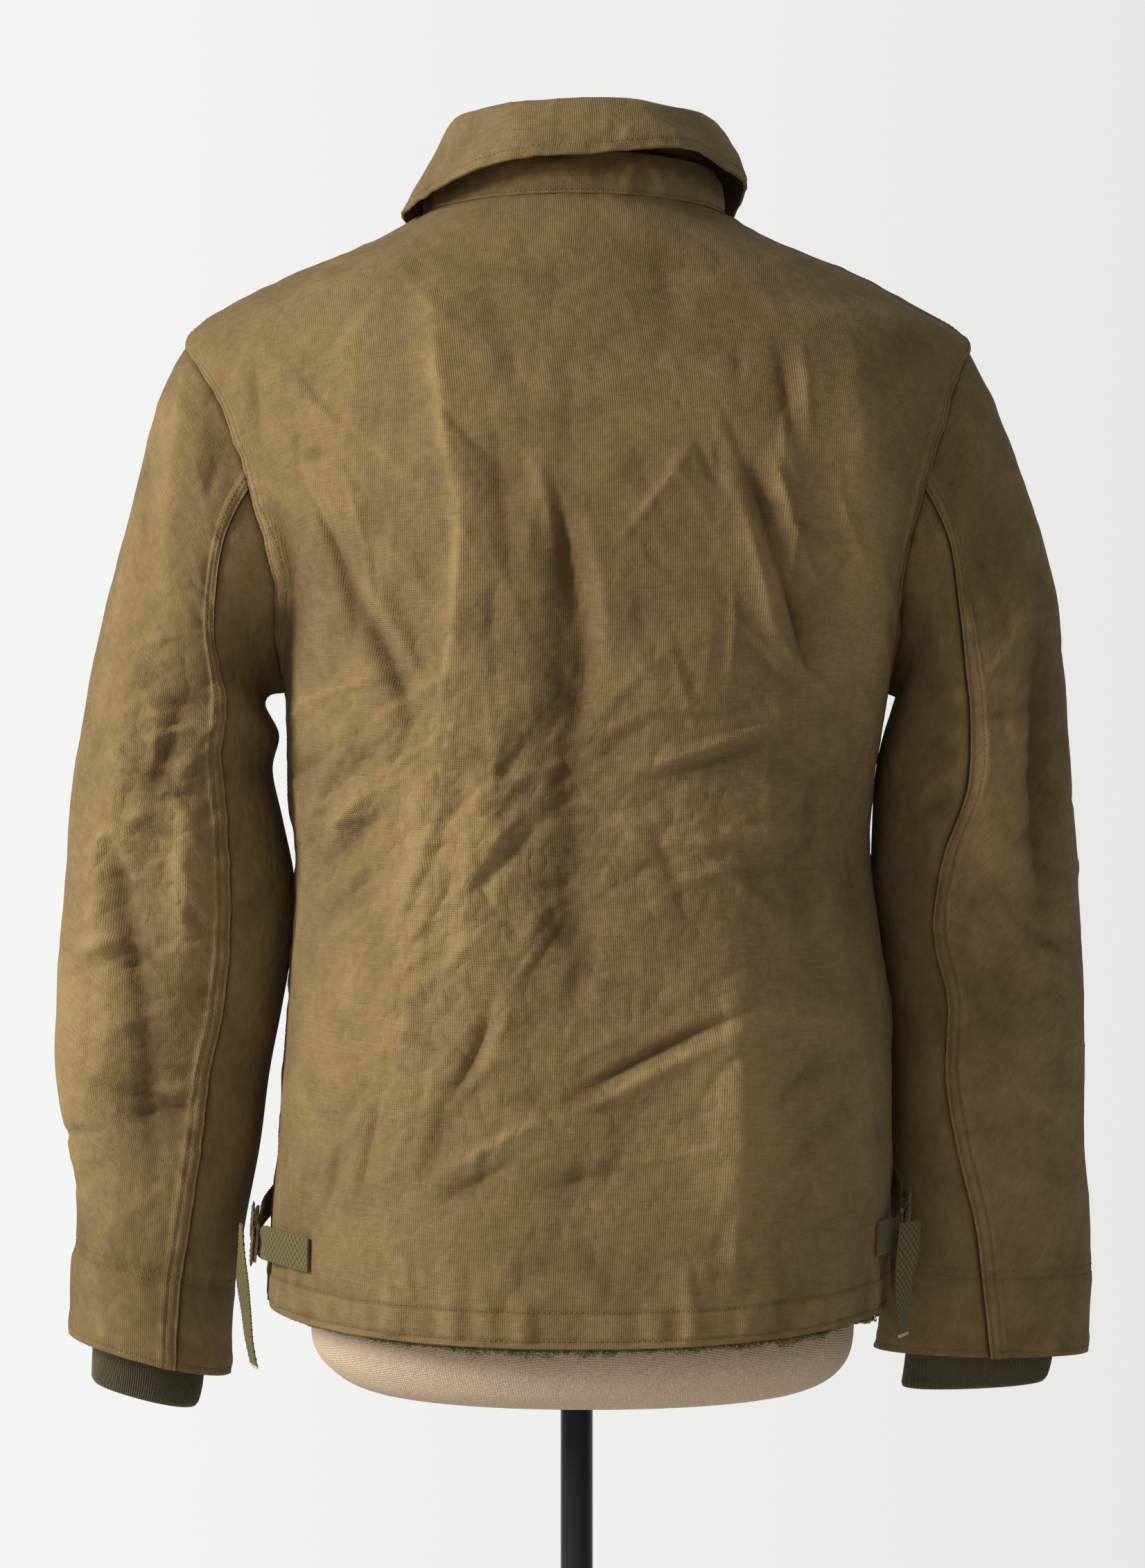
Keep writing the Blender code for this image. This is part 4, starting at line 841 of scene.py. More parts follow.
# %% [markdown]
# ## Finishes
#
# The canvas is a matt cotton in a washed olive brown. Its colour changes on three scales: broad
# faded areas, lighter crests and darker hollows that follow the folds, and the grain of uneven
# thread. The crests are pale from rubbing and from a painted highlight, the hollows dark from dirt
# and from painted shade, and the seams carry painted shadow lines. A fine bump gives the weave
# itself, which lies along the texture coordinates and so follows each panel as it was cut.

# %%
def add_node(tree, kind, inputs=None, **settings):
    """A shader node with its settings and inputs, which are numbers or other nodes' outputs."""
    made = tree.nodes.new(kind)
    for key, value in settings.items():
        setattr(made, key, value)
    for key, value in (inputs or {}).items():
        if isinstance(value, bpy.types.NodeSocket):
            tree.links.new(value, made.inputs[key])
        else:
            made.inputs[key].default_value = value
    return made


def combine(tree, operation, a, b):
    """A maths node's output."""
    return add_node(tree, "ShaderNodeMath", {0: a, 1: b}, operation=operation).outputs[0]


def blend(tree, share, a, b, kind="MIX"):
    """The mix of two colours."""
    made = add_node(tree, "ShaderNodeMix", {0: share, 6: a, 7: b}, data_type="RGBA", blend_type=kind)
    return made.outputs[2]


def new_material(name, colour, roughness, metallic=0.0, sheen=0.0):
    """A material with one Principled shader."""
    made = bpy.data.materials.new(name)
    made.use_nodes = True
    shader = made.node_tree.nodes["Principled BSDF"]
    shader.inputs["Base Color"].default_value = (*colour, 1)
    shader.inputs["Roughness"].default_value = roughness
    shader.inputs["Metallic"].default_value = metallic
    shader.inputs["Specular IOR Level"].default_value = 0.25
    if sheen:
        shader.inputs["Sheen Weight"].default_value = sheen
        shader.inputs["Sheen Roughness"].default_value = 0.6
        shader.inputs["Sheen Tint"].default_value = (0.9, 0.8, 0.62, 1)
    return made, made.node_tree, shader

# %%
def weave(tree, pitch):
    """Height of a plain weave: threads that go over and under each other."""
    thread = add_node(tree, "ShaderNodeTexCoord").outputs["UV"]
    scale = 0.314 / (pitch * MM)
    warp = add_node(
        tree, "ShaderNodeTexWave", {"Vector": thread, "Scale": scale, "Distortion": 0.6, "Detail": 0.0},
        wave_type="BANDS", bands_direction="X").outputs["Fac"]
    weft = add_node(
        tree, "ShaderNodeTexWave", {"Vector": thread, "Scale": scale, "Distortion": 0.6, "Detail": 0.0},
        wave_type="BANDS", bands_direction="Y").outputs["Fac"]
    return combine(tree, "MULTIPLY", warp, weft)


def thread_noise(tree, across, down, detail=2.0):
    """Noise along the threads: bumps of 1 / across and 1 / down metres."""
    thread = add_node(tree, "ShaderNodeTexCoord").outputs["UV"]
    place = add_node(tree, "ShaderNodeMapping", {"Vector": thread, "Scale": (across, down, 1)}).outputs[0]
    made = add_node(tree, "ShaderNodeTexNoise", {"Vector": place, "Scale": 1.0, "Detail": detail})
    return made.outputs["Fac"]


def spread_to(tree, value, low, high, to_low, to_high):
    """A value's range stretched to another one, as a grey colour."""
    inputs = {0: value, 1: low, 2: high, 3: to_low, 4: to_high}
    level = add_node(tree, "ShaderNodeMapRange", inputs).outputs[0]
    return add_node(tree, "ShaderNodeCombineColor", {0: level, 1: level, 2: level}).outputs[0]


def object_noise(tree, scale, detail=2.0, stretch=None):
    """Noise in the object's own space, in bumps of about 1 / scale metres."""
    place = add_node(tree, "ShaderNodeTexCoord").outputs["Object"]
    if stretch:
        place = add_node(tree, "ShaderNodeMapping", {"Vector": place, "Scale": stretch}).outputs[0]
    made = add_node(tree, "ShaderNodeTexNoise", {"Vector": place, "Scale": scale, "Detail": detail})
    return made.outputs["Fac"]


def canvas_material(name, dark, light, pitch=1.25):
    """Washed cotton canvas between a dark and a light tone."""
    made, tree, shader = new_material(name, light, 0.95, sheen=0.04)
    # This per-point share paints crests lighter and hollows and seam lines darker: rubbing and dirt, and also
    # painted highlight and painted shade.
    wear = add_node(tree, "ShaderNodeAttribute", attribute_name="wear").outputs["Fac"]
    rough = add_node(tree, "ShaderNodeAttribute", attribute_name="rough").outputs["Fac"]
    share = wear
    for value, amount in (
        (object_noise(tree, 6, 3), 0.8), (object_noise(tree, 34, 4), 0.7), (object_noise(tree, 170, 3), 0.5),
    ):
        change = combine(tree, "MULTIPLY", combine(tree, "SUBTRACT", value, 0.5), amount)
        share = combine(tree, "ADD", share, change)
    share = add_node(tree, "ShaderNodeClamp", {0: share}).outputs[0]
    colour = blend(tree, share, (*dark, 1), (*light, 1))
    threads = weave(tree, pitch)
    slub = thread_noise(tree, 70, 820)
    for value, low, high, dim, bright in (
        (slub, 0.3, 0.7, 0.92, 1.08), (thread_noise(tree, 900, 240), 0.3, 0.7, 0.94, 1.06),
        (threads, 0, 0.8, 0.86, 1.08),
    ):
        colour = blend(tree, 1.0, colour, spread_to(tree, value, low, high, dim, bright), "MULTIPLY")
    tree.links.new(colour, shader.inputs["Base Color"])
    bent = combine(tree, "ABSOLUTE", combine(tree, "SUBTRACT", object_noise(tree, 30, 1.5), 0.5), 0.0)
    small = combine(tree, "ABSOLUTE", combine(tree, "SUBTRACT", object_noise(tree, 85, 1), 0.5), 0.0)
    relief = combine(tree, "ADD", bent, combine(tree, "MULTIPLY", small, 0.35))
    normal = None
    for height, distance, strength in (
        (combine(tree, "MULTIPLY", relief, rough), 0.008, 1.0), (object_noise(tree, 300, 2), 0.0006, 0.6),
        (slub, 0.0004, 0.7), (threads, 0.0004, 0.8),
    ):
        inputs = {"Height": height, "Distance": distance, "Strength": strength}
        if normal:
            inputs["Normal"] = normal
        normal = add_node(tree, "ShaderNodeBump", inputs).outputs[0]
    tree.links.new(normal, shader.inputs["Normal"])
    return made


CANVAS = canvas_material("olive canvas", (0.098, 0.062, 0.021), (0.275, 0.187, 0.076))
THREAD = new_material("sewing thread", (0.15, 0.108, 0.042), 0.85)[0]

# %% [markdown]
# The other finishes: deep green curled pile, a dark ribbed knit, cotton webbing, the linen of the
# form, dark worn metal, and satin black paint on the stand.

# %%
def plain_cloth(name, colour, pitch, depth, sheen=0.1, spread=0.25):
    """A cloth of one colour with its own weave."""
    made, tree, shader = new_material(name, colour, 0.9, sheen=sheen)
    grain = spread_to(tree, object_noise(tree, 700, 2), 0.3, 0.7, 1 - spread, 1 + spread)
    mixed = blend(tree, 1.0, (*colour, 1), grain, "MULTIPLY")
    mixed = blend(tree, 1.0, mixed, spread_to(tree, weave(tree, pitch), 0, 0.8, 0.8, 1.15), "MULTIPLY")
    tree.links.new(mixed, shader.inputs["Base Color"])
    raised = {"Height": weave(tree, pitch), "Strength": 0.8, "Distance": depth}
    threads = add_node(tree, "ShaderNodeBump", raised)
    rough = add_node(
        tree, "ShaderNodeBump",
        {"Height": object_noise(tree, 500, 3), "Strength": 0.6, "Distance": 0.0005,
         "Normal": threads.outputs[0]})
    tree.links.new(rough.outputs[0], shader.inputs["Normal"])
    return made


LINEN = plain_cloth("beige linen", (0.64, 0.47, 0.325), 1.5, 0.0006, spread=0.16)
KNIT = plain_cloth("dark knit", (0.062, 0.05, 0.022), 0.9, 0.0003, sheen=0.3)
WEBBING = plain_cloth("cotton webbing", (0.15, 0.118, 0.038), 0.8, 0.0002, spread=0.35)
WEB_TREE = WEBBING.node_tree
# The webbing's colour runs from near black to its light tone with the weave's height: painted shade in the
# weave's hollows and painted highlight on its raised threads, which are also rubbed.
WEB_SHARE = add_node(WEB_TREE, "ShaderNodeAttribute", attribute_name="wear").outputs["Fac"]
WEB_COLOUR = blend(WEB_TREE, WEB_SHARE, (0.026, 0.022, 0.006, 1), (0.15, 0.127, 0.043, 1))
WEB_TREE.links.new(WEB_COLOUR, WEB_TREE.nodes["Principled BSDF"].inputs["Base Color"])
FRAYED = new_material("frayed cotton end", (0.50, 0.45, 0.32), 0.95)[0]
BLACK = new_material("satin black steel", (0.012, 0.013, 0.016), 0.36)[0]
METAL, METAL_TREE, METAL_SHADER = new_material("dark worn metal", (0.11, 0.075, 0.045), 0.38, metallic=0.9)
RUBBED = blend(METAL_TREE, object_noise(METAL_TREE, 260, 3), (0.035, 0.022, 0.014, 1), (0.34, 0.25, 0.17, 1))
METAL_TREE.links.new(RUBBED, METAL_SHADER.inputs["Base Color"])

# %%
PILE, PILE_TREE, PILE_SHADER = new_material("olive pile", (0.11, 0.10, 0.022), 1.0, sheen=0.5)
PILE_RANDOM = add_node(PILE_TREE, "ShaderNodeNewGeometry").outputs["Random Per Island"]
PILE_COLOUR = blend(PILE_TREE, PILE_RANDOM, (0.045, 0.042, 0.008, 1), (0.19, 0.175, 0.045, 1))
PILE_TREE.links.new(PILE_COLOUR, PILE_SHADER.inputs["Base Color"])

# %% [markdown]
# ## The dress form and its stand
#
# A padded form in coarse linen, on a black steel pole. Under the jacket its shoulders follow the
# jacket's own shoulders. Below the hem its rounded underside shows. The round base is out of the
# picture, so it is a plain spun plate.

# %%
def form_ring(row, angles):
    """One ring of the form, from a row of its table."""
    z_back, z_front, half_width, y_back, y_front, y_mid, x_mid, power = row
    x, y = oval(angles, half_width, y_back, y_front, y_mid, x_mid, power)
    return np.stack([x, y, tilted(angles, z_back, (z_back + z_front) / 2, z_front)], -1)


def closed_rings(points):
    """Faces of a stack of rings whose two ends are closed by narrow rings."""
    return grid_faces(points.shape[0], points.shape[1], ring=True)


def build_form():
    """The form as closed rings. Its shoulders lie just under the jacket's own."""
    angles = np.linspace(-180, 180, 120, endpoint=False)
    rings = [form_ring(row, angles) for row in FORM_TORSO]
    for ring in (13.4, 14.2, 15.1, 16.0):
        at = np.full_like(angles, ring)
        inward = normals(torso, np.minimum(at, NECK_RING - 0.02), angles)
        rings.append(torso(at, angles) - (WALL + 0.6) * inward)
    rings += [form_ring(row, angles) for row in FORM_NECK]
    flat = np.array(rings).reshape(len(rings), -1)
    fine = along(flat, np.linspace(0, len(rings) - 1, 5 * len(rings))).reshape(-1, len(angles), 3)
    low, high = fine[0], fine[-1]
    caps = [low.mean(0) + (low - low.mean(0)) * share for share in (0.02, 0.5, 0.93)]
    tops = [high.mean(0) + (high - high.mean(0)) * share for share in (0.95, 0.5, 0.02)]
    points = np.concatenate([caps, fine, tops])
    outward = unit(points - points.mean(1, keepdims=True))
    return Cloth(points, outward)


form_cloth = build_form()
form = cloth_mesh("form_linen", form_cloth, LINEN, "dress_form", thickness=0, ring=True)
print("form:", len(form.data.polygons), "faces")

# %%
def turned(name, profile, material, node, sides=96):
    """A turned solid from (height, radius) pairs, closed at both ends."""
    heights = np.array([p[0] for p in profile], float)
    radii = np.array([p[1] for p in profile], float)
    turn = np.linspace(0, 2 * np.pi, sides, endpoint=False)
    points = np.stack([
        radii[:, None] * np.cos(turn), radii[:, None] * np.sin(turn), heights[:, None] * np.ones(sides)], -1)
    obj = mesh_object(name, points.reshape(-1, 3), closed_rings(points), material)
    obj.data.set_sharp_from_angle(angle=math.radians(40))
    return dress(obj, node)


POLE_PROFILE = ((38.3, 0.1), (38.3, 9.5), (400, 9.5), (770.7, 9.5), (770.7, 0.1))
BASE_PROFILE = (
    (0, 0.1), (0, 174), (1, 175), (6.2, 175), (7.4, 174.4), (9, 172), (11, 110), (14, 40), (17, 29),
    (20, 24.5),
    (30, 22.4), (36.6, 22), (37.8, 21), (38, 19), (38, 0.1))
pole = turned("stand_pole_black", POLE_PROFILE, BLACK, "stand_pole")
base = turned("stand_base_black", BASE_PROFILE, BLACK, "stand_base")

# %% [markdown]
# ## The body panels
#
# The back is cut in one piece. Its edges lap over the sleeves, the fronts and the shoulders, with
# two rows of stitches along each, and its hem is turned up by 20 mm and stitched twice. The folds
# fade towards every seam, because the doubled cloth there is stiffer.

# %%
HEM_ROWS = (4.2, 20.5)


def body_panel(low_angle, high_angle, step, folds, side):
    """A fine body panel between two edge functions, with its folds and crumples."""
    rows = rows_for(torso, 0.0 if side < 0 else 180.0, 0, NECK_RING, step, (UNDERARM_RING, SHOULDER_RING))
    low, high = low_angle(rows), high_angle(rows)
    middle = np.argmax(high - low)
    path = torso(np.full(200, rows[middle]), np.linspace(low[middle], high[middle], 200))
    share = spaced(np.linalg.norm(np.diff(path, axis=0), axis=1).sum(), step)
    angles = low[:, None] * (1 - share) + high[:, None] * share
    rings = rows[:, None] * np.ones_like(angles)
    cloth = Cloth(torso(rings, angles), normals(torso, np.clip(rings, 0.02, NECK_RING - 0.02), angles))
    smooth = cloth.points
    calm = 0.3 + 0.7 * ease(np.minimum(cloth.first, cloth.last), 18)
    calm = calm * (0.35 + 0.65 * ease(cloth.low, 40)) * (0.3 + 0.7 * ease(cloth.high, 45)) * cloth.rough
    edge = ease(np.minimum(cloth.first, cloth.last), 14)
    lift = fold_height(smooth, cloth.outward[..., 1], folds, side) * edge
    cloth.raise_by(lift * ease(cloth.high, 30) * ease(cloth.low + 12, 30) + crumple(smooth) * calm)
    cloth.raise_by(hem_band(cloth.low, smooth, HEM_ROWS, 21))
    # The hem's two stitch rows are painted darker, as dirt and as painted shade in their dents.
    cloth.tone -= 0.25 * sum(np.exp(-(((cloth.low - row) / 0.9) ** 2)) for row in HEM_ROWS)
    return cloth, smooth, rows


def side_edge(table):
    """An edge function: side seam, then armhole, then shoulder seam."""
    return lambda rows: np.where(
        rows <= UNDERARM_RING, SIDE_SEAM, np.where(rows >= SHOULDER_RING, 90.0, edge_angle(rows, table)))


back_edge, front_edge = side_edge(ARMHOLE_BACK), side_edge(ARMHOLE_FRONT)
ALL_BACK_FOLDS = (*BACK_FOLDS, *creases(BACK_CREASES))
back, back_smooth, back_rows = body_panel(lambda r: -back_edge(r), back_edge, BACK_STEP, ALL_BACK_FOLDS, -1)
# Both side edges lap. Their tone is painted pale at the edge (rubbing and painted highlight) and dark in the
# stitch rows (dirt and painted shade).
for distance in (back.first, back.last):
    back.raise_by(lapped(distance, back_smooth))
    back.tone += lapped_tone(distance)
for height in HEM_ROWS:
    sew("back", back.line_down(back.low, height), skip=3)
for distance in (back.first, back.last):
    sew("back", back.line(distance, STITCH_NEAR))
    sew("back", back.line(distance, STITCH_FAR))
back_piece = cloth_mesh("back_canvas", back, CANVAS, "back_panel")
print("back:", back.points.shape[:2], "points")

# %% [markdown]
# Each front tucks under the back at the side and the shoulder, and laps over its sleeve between
# them. A strip of canvas covers the closure down the middle, sewn down with two rows.

# %%
def front_panel(word, low_angle, high_angle, outer_distance, node):
    """A front panel. outer_distance names the edge at the side of the body."""
    folds = (*FRONT_FOLDS, *creases(BACK_CREASES))
    cloth, smooth, rows = body_panel(low_angle, high_angle, FRONT_STEP, folds, 1)
    distance = getattr(cloth, outer_distance)
    beside = ((rows > UNDERARM_RING) & (rows < SHOULDER_RING))[:, None]
    cloth.raise_by(np.where(beside, lapped(distance, smooth), tucked_under(distance)))
    # Beside the armhole the edge laps and is painted as the back's edges are. Elsewhere it tucks under the
    # back, and a painted shadow line darkens it within a few millimetres of the seam.
    cloth.tone += np.where(beside, lapped_tone(distance), -0.8 * np.exp(-((distance / 2.0) ** 2)))
    for inset in (STITCH_NEAR, STITCH_FAR):
        points, outward = cloth.line(distance, inset)
        sew("fronts", (points[beside[:, 0]], outward[beside[:, 0]]))
    for height in HEM_ROWS:
        sew("fronts", cloth.line_down(cloth.low, height), skip=3)
    piece = cloth_mesh(f"front_{word}_canvas", cloth, CANVAS, node)


front_panel("right", front_edge, lambda r: np.full_like(r, 180.0), "first", "front_right")
front_panel(
    "left", lambda r: np.full_like(r, -180.0), lambda r: -front_edge(r), "last", "front_left")

# %%
FLY_HALF_WIDTH, FLY_X = 27.0, 6.0
FLY_ROWS = (3.0, 9.0)


def build_fly():
    """The strip over the closure, laid on the fronts' own surface and folds."""
    rows = rows_for(torso, 180.0, 0, NECK_RING - 0.25, 3.0)
    offsets = FLY_X + FLY_HALF_WIDTH * (1 - 2 * spaced(2 * FLY_HALF_WIDTH, 3.0))
    half_width, x_mid, power = along(TORSO, rows)[:, [3, 7, 8]].T[:, :, None]
    share = np.clip((offsets - x_mid) / half_width, -1, 1)
    angles = 180 - np.sign(share) * np.degrees(np.arcsin(np.abs(share) ** (power / 2)))
    rings = rows[:, None] * np.ones_like(angles)
    cloth = Cloth(torso(rings, angles), normals(torso, np.clip(rings, 0.02, 15.98), angles))
    smooth = cloth.points
    inset = np.minimum(cloth.first, cloth.last)
    cloth.raise_by(2.6 * np.ones(smooth.shape[:2]), painted_by_height=False)
    cloth.raise_by(0.5 * crumple(smooth) + 0.3 * noise(smooth, 7, 41) * np.exp(-(inset - 4) ** 2 / 40))
    for row in FLY_ROWS:
        cloth.raise_by(-0.4 * np.exp(-((inset - row) / 0.9) ** 2))
    return cloth


fly = build_fly()
for distance in (fly.first, fly.last):
    for row in FLY_ROWS:
        sew("fronts", fly.line(distance, row))
fly_piece = cloth_mesh("fly_canvas", fly, CANVAS, "front_fly")
stitch_mesh("back", THREAD)
stitch_mesh("fronts", THREAD)

# %% [markdown]
# ## The sleeves
#
# A two-piece sleeve: the upper one laps over the under one, down the back and the front of the
# arm, with two rows of stitches. It is set in under the body's lapped armhole. The turned hem has
# a row at its edge, and two rows 54 mm higher that also hold the knit cuff.

# %%
LEFT_CREASES, RIGHT_CREASES = creases(LEFT_SLEEVE_CREASES), creases(RIGHT_SLEEVE_CREASES)
ARM_FOLDS = {
    -1: ((*LEFT_SLEEVE_FOLDS, *LEFT_CREASES), (*LEFT_SLEEVE_FRONT_FOLDS, *creases(LEFT_SLEEVE_CREASES))),
    1: ((*RIGHT_SLEEVE_FOLDS, *RIGHT_CREASES), (*RIGHT_SLEEVE_FRONT_FOLDS, *creases(RIGHT_SLEEVE_CREASES))),
}
SLEEVE_HEM_ROWS = (4.0, 51.5, 57.0)
CUFF_LINE = 54.0          # between the two rows that hold the knit cuff


def sleeve_cloth(side, upper, step):
    """The upper or the under sleeve on a fine grid."""
    surface = lambda q, a: sleeve(side, q, a)
    rows = rows_for(surface, 0.0 if upper else 180.0, 0, SLEEVE_HEM_RING, step)
    seam_back, seam_front = along(SLEEVE_TABLES[side], rows)[:, 6], along(SLEEVE_TABLES[side], rows)[:, 7]
    low, high = (seam_front - 360, seam_back) if upper else (seam_back, seam_front)
    path = surface(np.full(200, 3.0), np.linspace(low[0], high[0], 200))
    share = spaced(np.linalg.norm(np.diff(path, axis=0), axis=1).sum(), step)
    angles = low[:, None] * (1 - share) + high[:, None] * share
    rings = rows[:, None] * np.ones_like(angles)
    outward = normals(surface, np.clip(rings, 0.03, SLEEVE_HEM_RING - 0.03), angles, du=0.02) * side
    cloth = Cloth(surface(rings, angles), outward)
    smooth = cloth.points
    free = np.clip((0.8 + outward[..., 0] * side) / 0.5, 0, 1)
    sides = np.minimum(cloth.first, cloth.last)
    edge = 0.35 + 0.65 * ease(sides, 12)
    back_folds, front_folds = ARM_FOLDS[side]
    facing = outward[..., 1]
    lift = fold_height(smooth, facing, back_folds, -1) + fold_height(smooth, facing, front_folds, 1)
    crumples = crumple(smooth * (1, 1, -1)) * cloth.rough
    crumples = crumples * (0.35 + 0.65 * ease(cloth.high, 60)) * (0.3 + 0.7 * ease(cloth.low, 30))
    both = lift * edge * ease(cloth.low, 25) + crumples * (0.4 + 0.6 * edge)
    cloth.raise_by(np.where(both > 0, both * free, both * (0.3 + 0.7 * free)))
    cloth.raise_by(hem_band(cloth.high, smooth, SLEEVE_HEM_ROWS, 10) * 0.8)
    upright = noise(smooth * (1, 1, 0.3), 10.5, 33)
    cloth.raise_by(1.5 * upright * np.exp(-(((cloth.high - CUFF_LINE) / 14) ** 2)))
    cloth.raise_by(-0.7 * np.exp(-(((cloth.high - CUFF_LINE) / 4.5) ** 2)))
    cloth.raise_by(lapped(sides, smooth) if upper else tucked_under(sides))
    # The upper sleeve's lapped edges are painted pale at the edge and dark in the stitch rows. The under
    # sleeve's edges tuck under and get a painted shadow line.
    cloth.tone += lapped_tone(sides) if upper else -0.8 * np.exp(-((sides / 2.0) ** 2))
    # A painted shadow line darkens the sleeve where it tucks under the body's lapped armhole.
    cloth.tone -= 0.9 * np.exp(-((cloth.low / 2.6) ** 2))
    return cloth


# %%
def build_sleeve(side, word):
    """Both halves of a sleeve, with their stitches."""
    for upper, half in ((True, "top"), (False, "under")):
        cloth = sleeve_cloth(side, upper, TOP_STEP if upper else UNDER_STEP)
        if upper:
            for distance in (cloth.first, cloth.last):
                sew(f"sleeve_{word}", cloth.line(distance, STITCH_NEAR), skip=3)
                sew(f"sleeve_{word}", cloth.line(distance, STITCH_FAR), skip=3)
        for height in SLEEVE_HEM_ROWS:
            sew(f"sleeve_{word}", cloth.line_down(cloth.high, height), skip=1)
        cloth.raise_by(-0.9 * (1 - ease(cloth.low, 7)))
        cloth.pad(0, -1, -4.0, -2.2)
        piece = cloth_mesh(f"sleeve_{half}_{word}_canvas", cloth, CANVAS, f"sleeve_{half}_{word}")
    stitch_mesh(f"sleeve_{word}", THREAD)


for side, word in SIDES:
    build_sleeve(side, word)

# %% [markdown]
# ### Knit storm cuffs
#
# A ribbed tube is sewn inside each sleeve and shows below its hem. Every rib is real here: the
# radius rises and falls 150 times round the wrist.

# %%
CUFF_COLUMNS = ("ring", "size", "lowered")
CUFF = ((11.6, 0.985, 0), (11.95, 0.86, 0.1), (12.3, 0.76, 0.2), (13.0, 0.71, 0.4), (13.0, 0.695, 1.0))
CUFF_DROP = {-1: 24.0, 1: 21.0}
CUFF_SHIFT = {-1: -3.5, 1: -5.0}
CUFF_TILT = {-1: 0.0, 1: 2.5}
RIBS = 150


def build_cuff(side, word):
    """One ribbed cuff, from inside the sleeve to below its hem."""
    surface = lambda q, a: sleeve(side, q, a)
    turns = np.linspace(0, 360, RIBS * 4 + 1)
    rings = []
    for ring, size, lowered in CUFF:
        points = surface(np.full_like(turns, ring), turns)
        centre = points.mean(0)
        inside = points - 2.6 * unit(points - centre)
        tilt = CUFF_TILT[side] * side * (inside[:, 0] - centre[0]) / np.ptp(inside[:, 0]) * 2
        shift = np.full_like(tilt, CUFF_SHIFT[side])
        move = np.stack([shift, np.zeros_like(tilt), tilt - CUFF_DROP[side]], -1)
        rings.append(centre + size * (inside - centre) + lowered * move)
    flat = np.array(rings).reshape(len(rings), -1)
    points = along(flat, np.linspace(0, len(rings) - 1, 18)).reshape(-1, len(turns), 3)
    outward = unit((points - points.mean(1, keepdims=True)) * (1, 1, 0.2))
    cloth = Cloth(points, outward)
    rib = 0.45 * np.cos(np.radians(turns) * RIBS) * np.ones((18, 1))
    roll = -1.2 * (1 - ease(cloth.high, 2.5))
    cloth.raise_by(rib + roll + 0.7 * noise(points, 17, 51))
    piece = cloth_mesh(f"cuff_{word}_knit", cloth, KNIT, f"knit_cuff_{word}")


for side, word in SIDES:
    build_cuff(side, word)

# %% [markdown]
# ## The collar
#
# The stand is sewn on round the neck. The leaf folds over it and falls, longer on the wearer's
# left and standing off on the right, where a dark hollow shows below it. Its edge has one row of
# stitches 6.5 mm in, and puckers between the row and the edge.

# %%
def collar_cloth(table, step, last_ring, flip):
    """A collar piece on a fine grid. flip is -1 for the leaf, whose outside is the other face."""
    surface = lambda q, a: collar(table, q, a)
    rows = rows_for(surface, 0.0, 0, last_ring, step)
    share = np.linspace(-1, 1, 260)
    rings = rows[:, None] * np.ones_like(share)
    angles = along(table, rings)[..., 8] * share
    outward = normals(surface, np.clip(rings, 0.02, last_ring - 0.02), angles) * flip
    return Cloth(surface(rings, angles), outward)


COLLAR_STEP = 2.4
STAND_ROW, LEAF_ROW = 2.2, 6.5      # the stitch rows, from the stand's seam and the leaf's edge
stand = collar_cloth(STAND, COLLAR_STEP, 2, 1)
stand.raise_by(1.7 * crumple(stand.points * 1.4) * ease(stand.high, 8) * (0.4 + 0.6 * ease(stand.low, 9)))
stand.raise_by(0.5 * noise(stand.points, 7, 61) + 0.7 - 0.4 * np.exp(-((stand.low - STAND_ROW) / 0.9) ** 2))
sew("collar", stand.line_down(stand.low, STAND_ROW), skip=4)
stand_piece = cloth_mesh("collar_stand_canvas", stand, CANVAS, "collar_stand")

# %%
leaf = collar_cloth(LEAF, COLLAR_STEP, 7, -1)
leaf.raise_by(COLLAR_WALL * np.ones(leaf.points.shape[:2]), painted_by_height=False)
leaf_smooth = leaf.points
fallen = ease(leaf.low - 22, 14)
leaf.raise_by(fallen * (0.8 * crumple(leaf_smooth * 1.3) + 1.2 * noise(leaf_smooth, 30, 71)))
leaf.raise_by(1.5 * noise(leaf_smooth * (1.4, 1.4, 0.5), 9, 72) * np.exp(-((leaf.high - 5) / 5) ** 2))
leaf.raise_by(-0.45 * np.exp(-((leaf.high - LEAF_ROW) / 0.9) ** 2) + 0.35 * (1 - ease(leaf.high - LEAF_ROW, 3)))
sew("collar", leaf.line_down(leaf.high, LEAF_ROW), skip=6)
leaf_piece = cloth_mesh("collar_leaf_canvas", leaf, CANVAS, "collar_leaf", thickness=COLLAR_WALL)
stitch_mesh("collar", THREAD)

# %% [markdown]
# ## The pile lining
#
# The lining hangs a little below the hem. Its backing is a band on the inside of the hem, and the
# pile is made of some thousands of small curled tufts. They hang lower where the photograph shows
# most of them: left of the centre, and near the right side.

# %%
def build_lining():
    """The lining's backing, a band behind the hem."""
    angles = np.linspace(-180, 180, 241)
    rows = np.linspace(0, 1.4, 16)[:, None] * np.ones_like(angles)
    outward = normals(torso, np.maximum(rows, 0.02), angles * np.ones_like(rows))
    points = torso(rows, angles) - 6.0 * outward
    low = points[0] - (0, 0, 3.0)
    points = np.concatenate([low[None], points])
    outward = np.concatenate([outward[:1], outward])
    cloth = Cloth(points, outward)
    cloth.raise_by(0.8 * noise(points, 4, 81))
    piece = cloth_mesh("lining_backing", cloth, PILE, "pile_lining", thickness=2.0)


build_lining()

# %%
TUFTS = 4600
TUFT_STEPS = 6


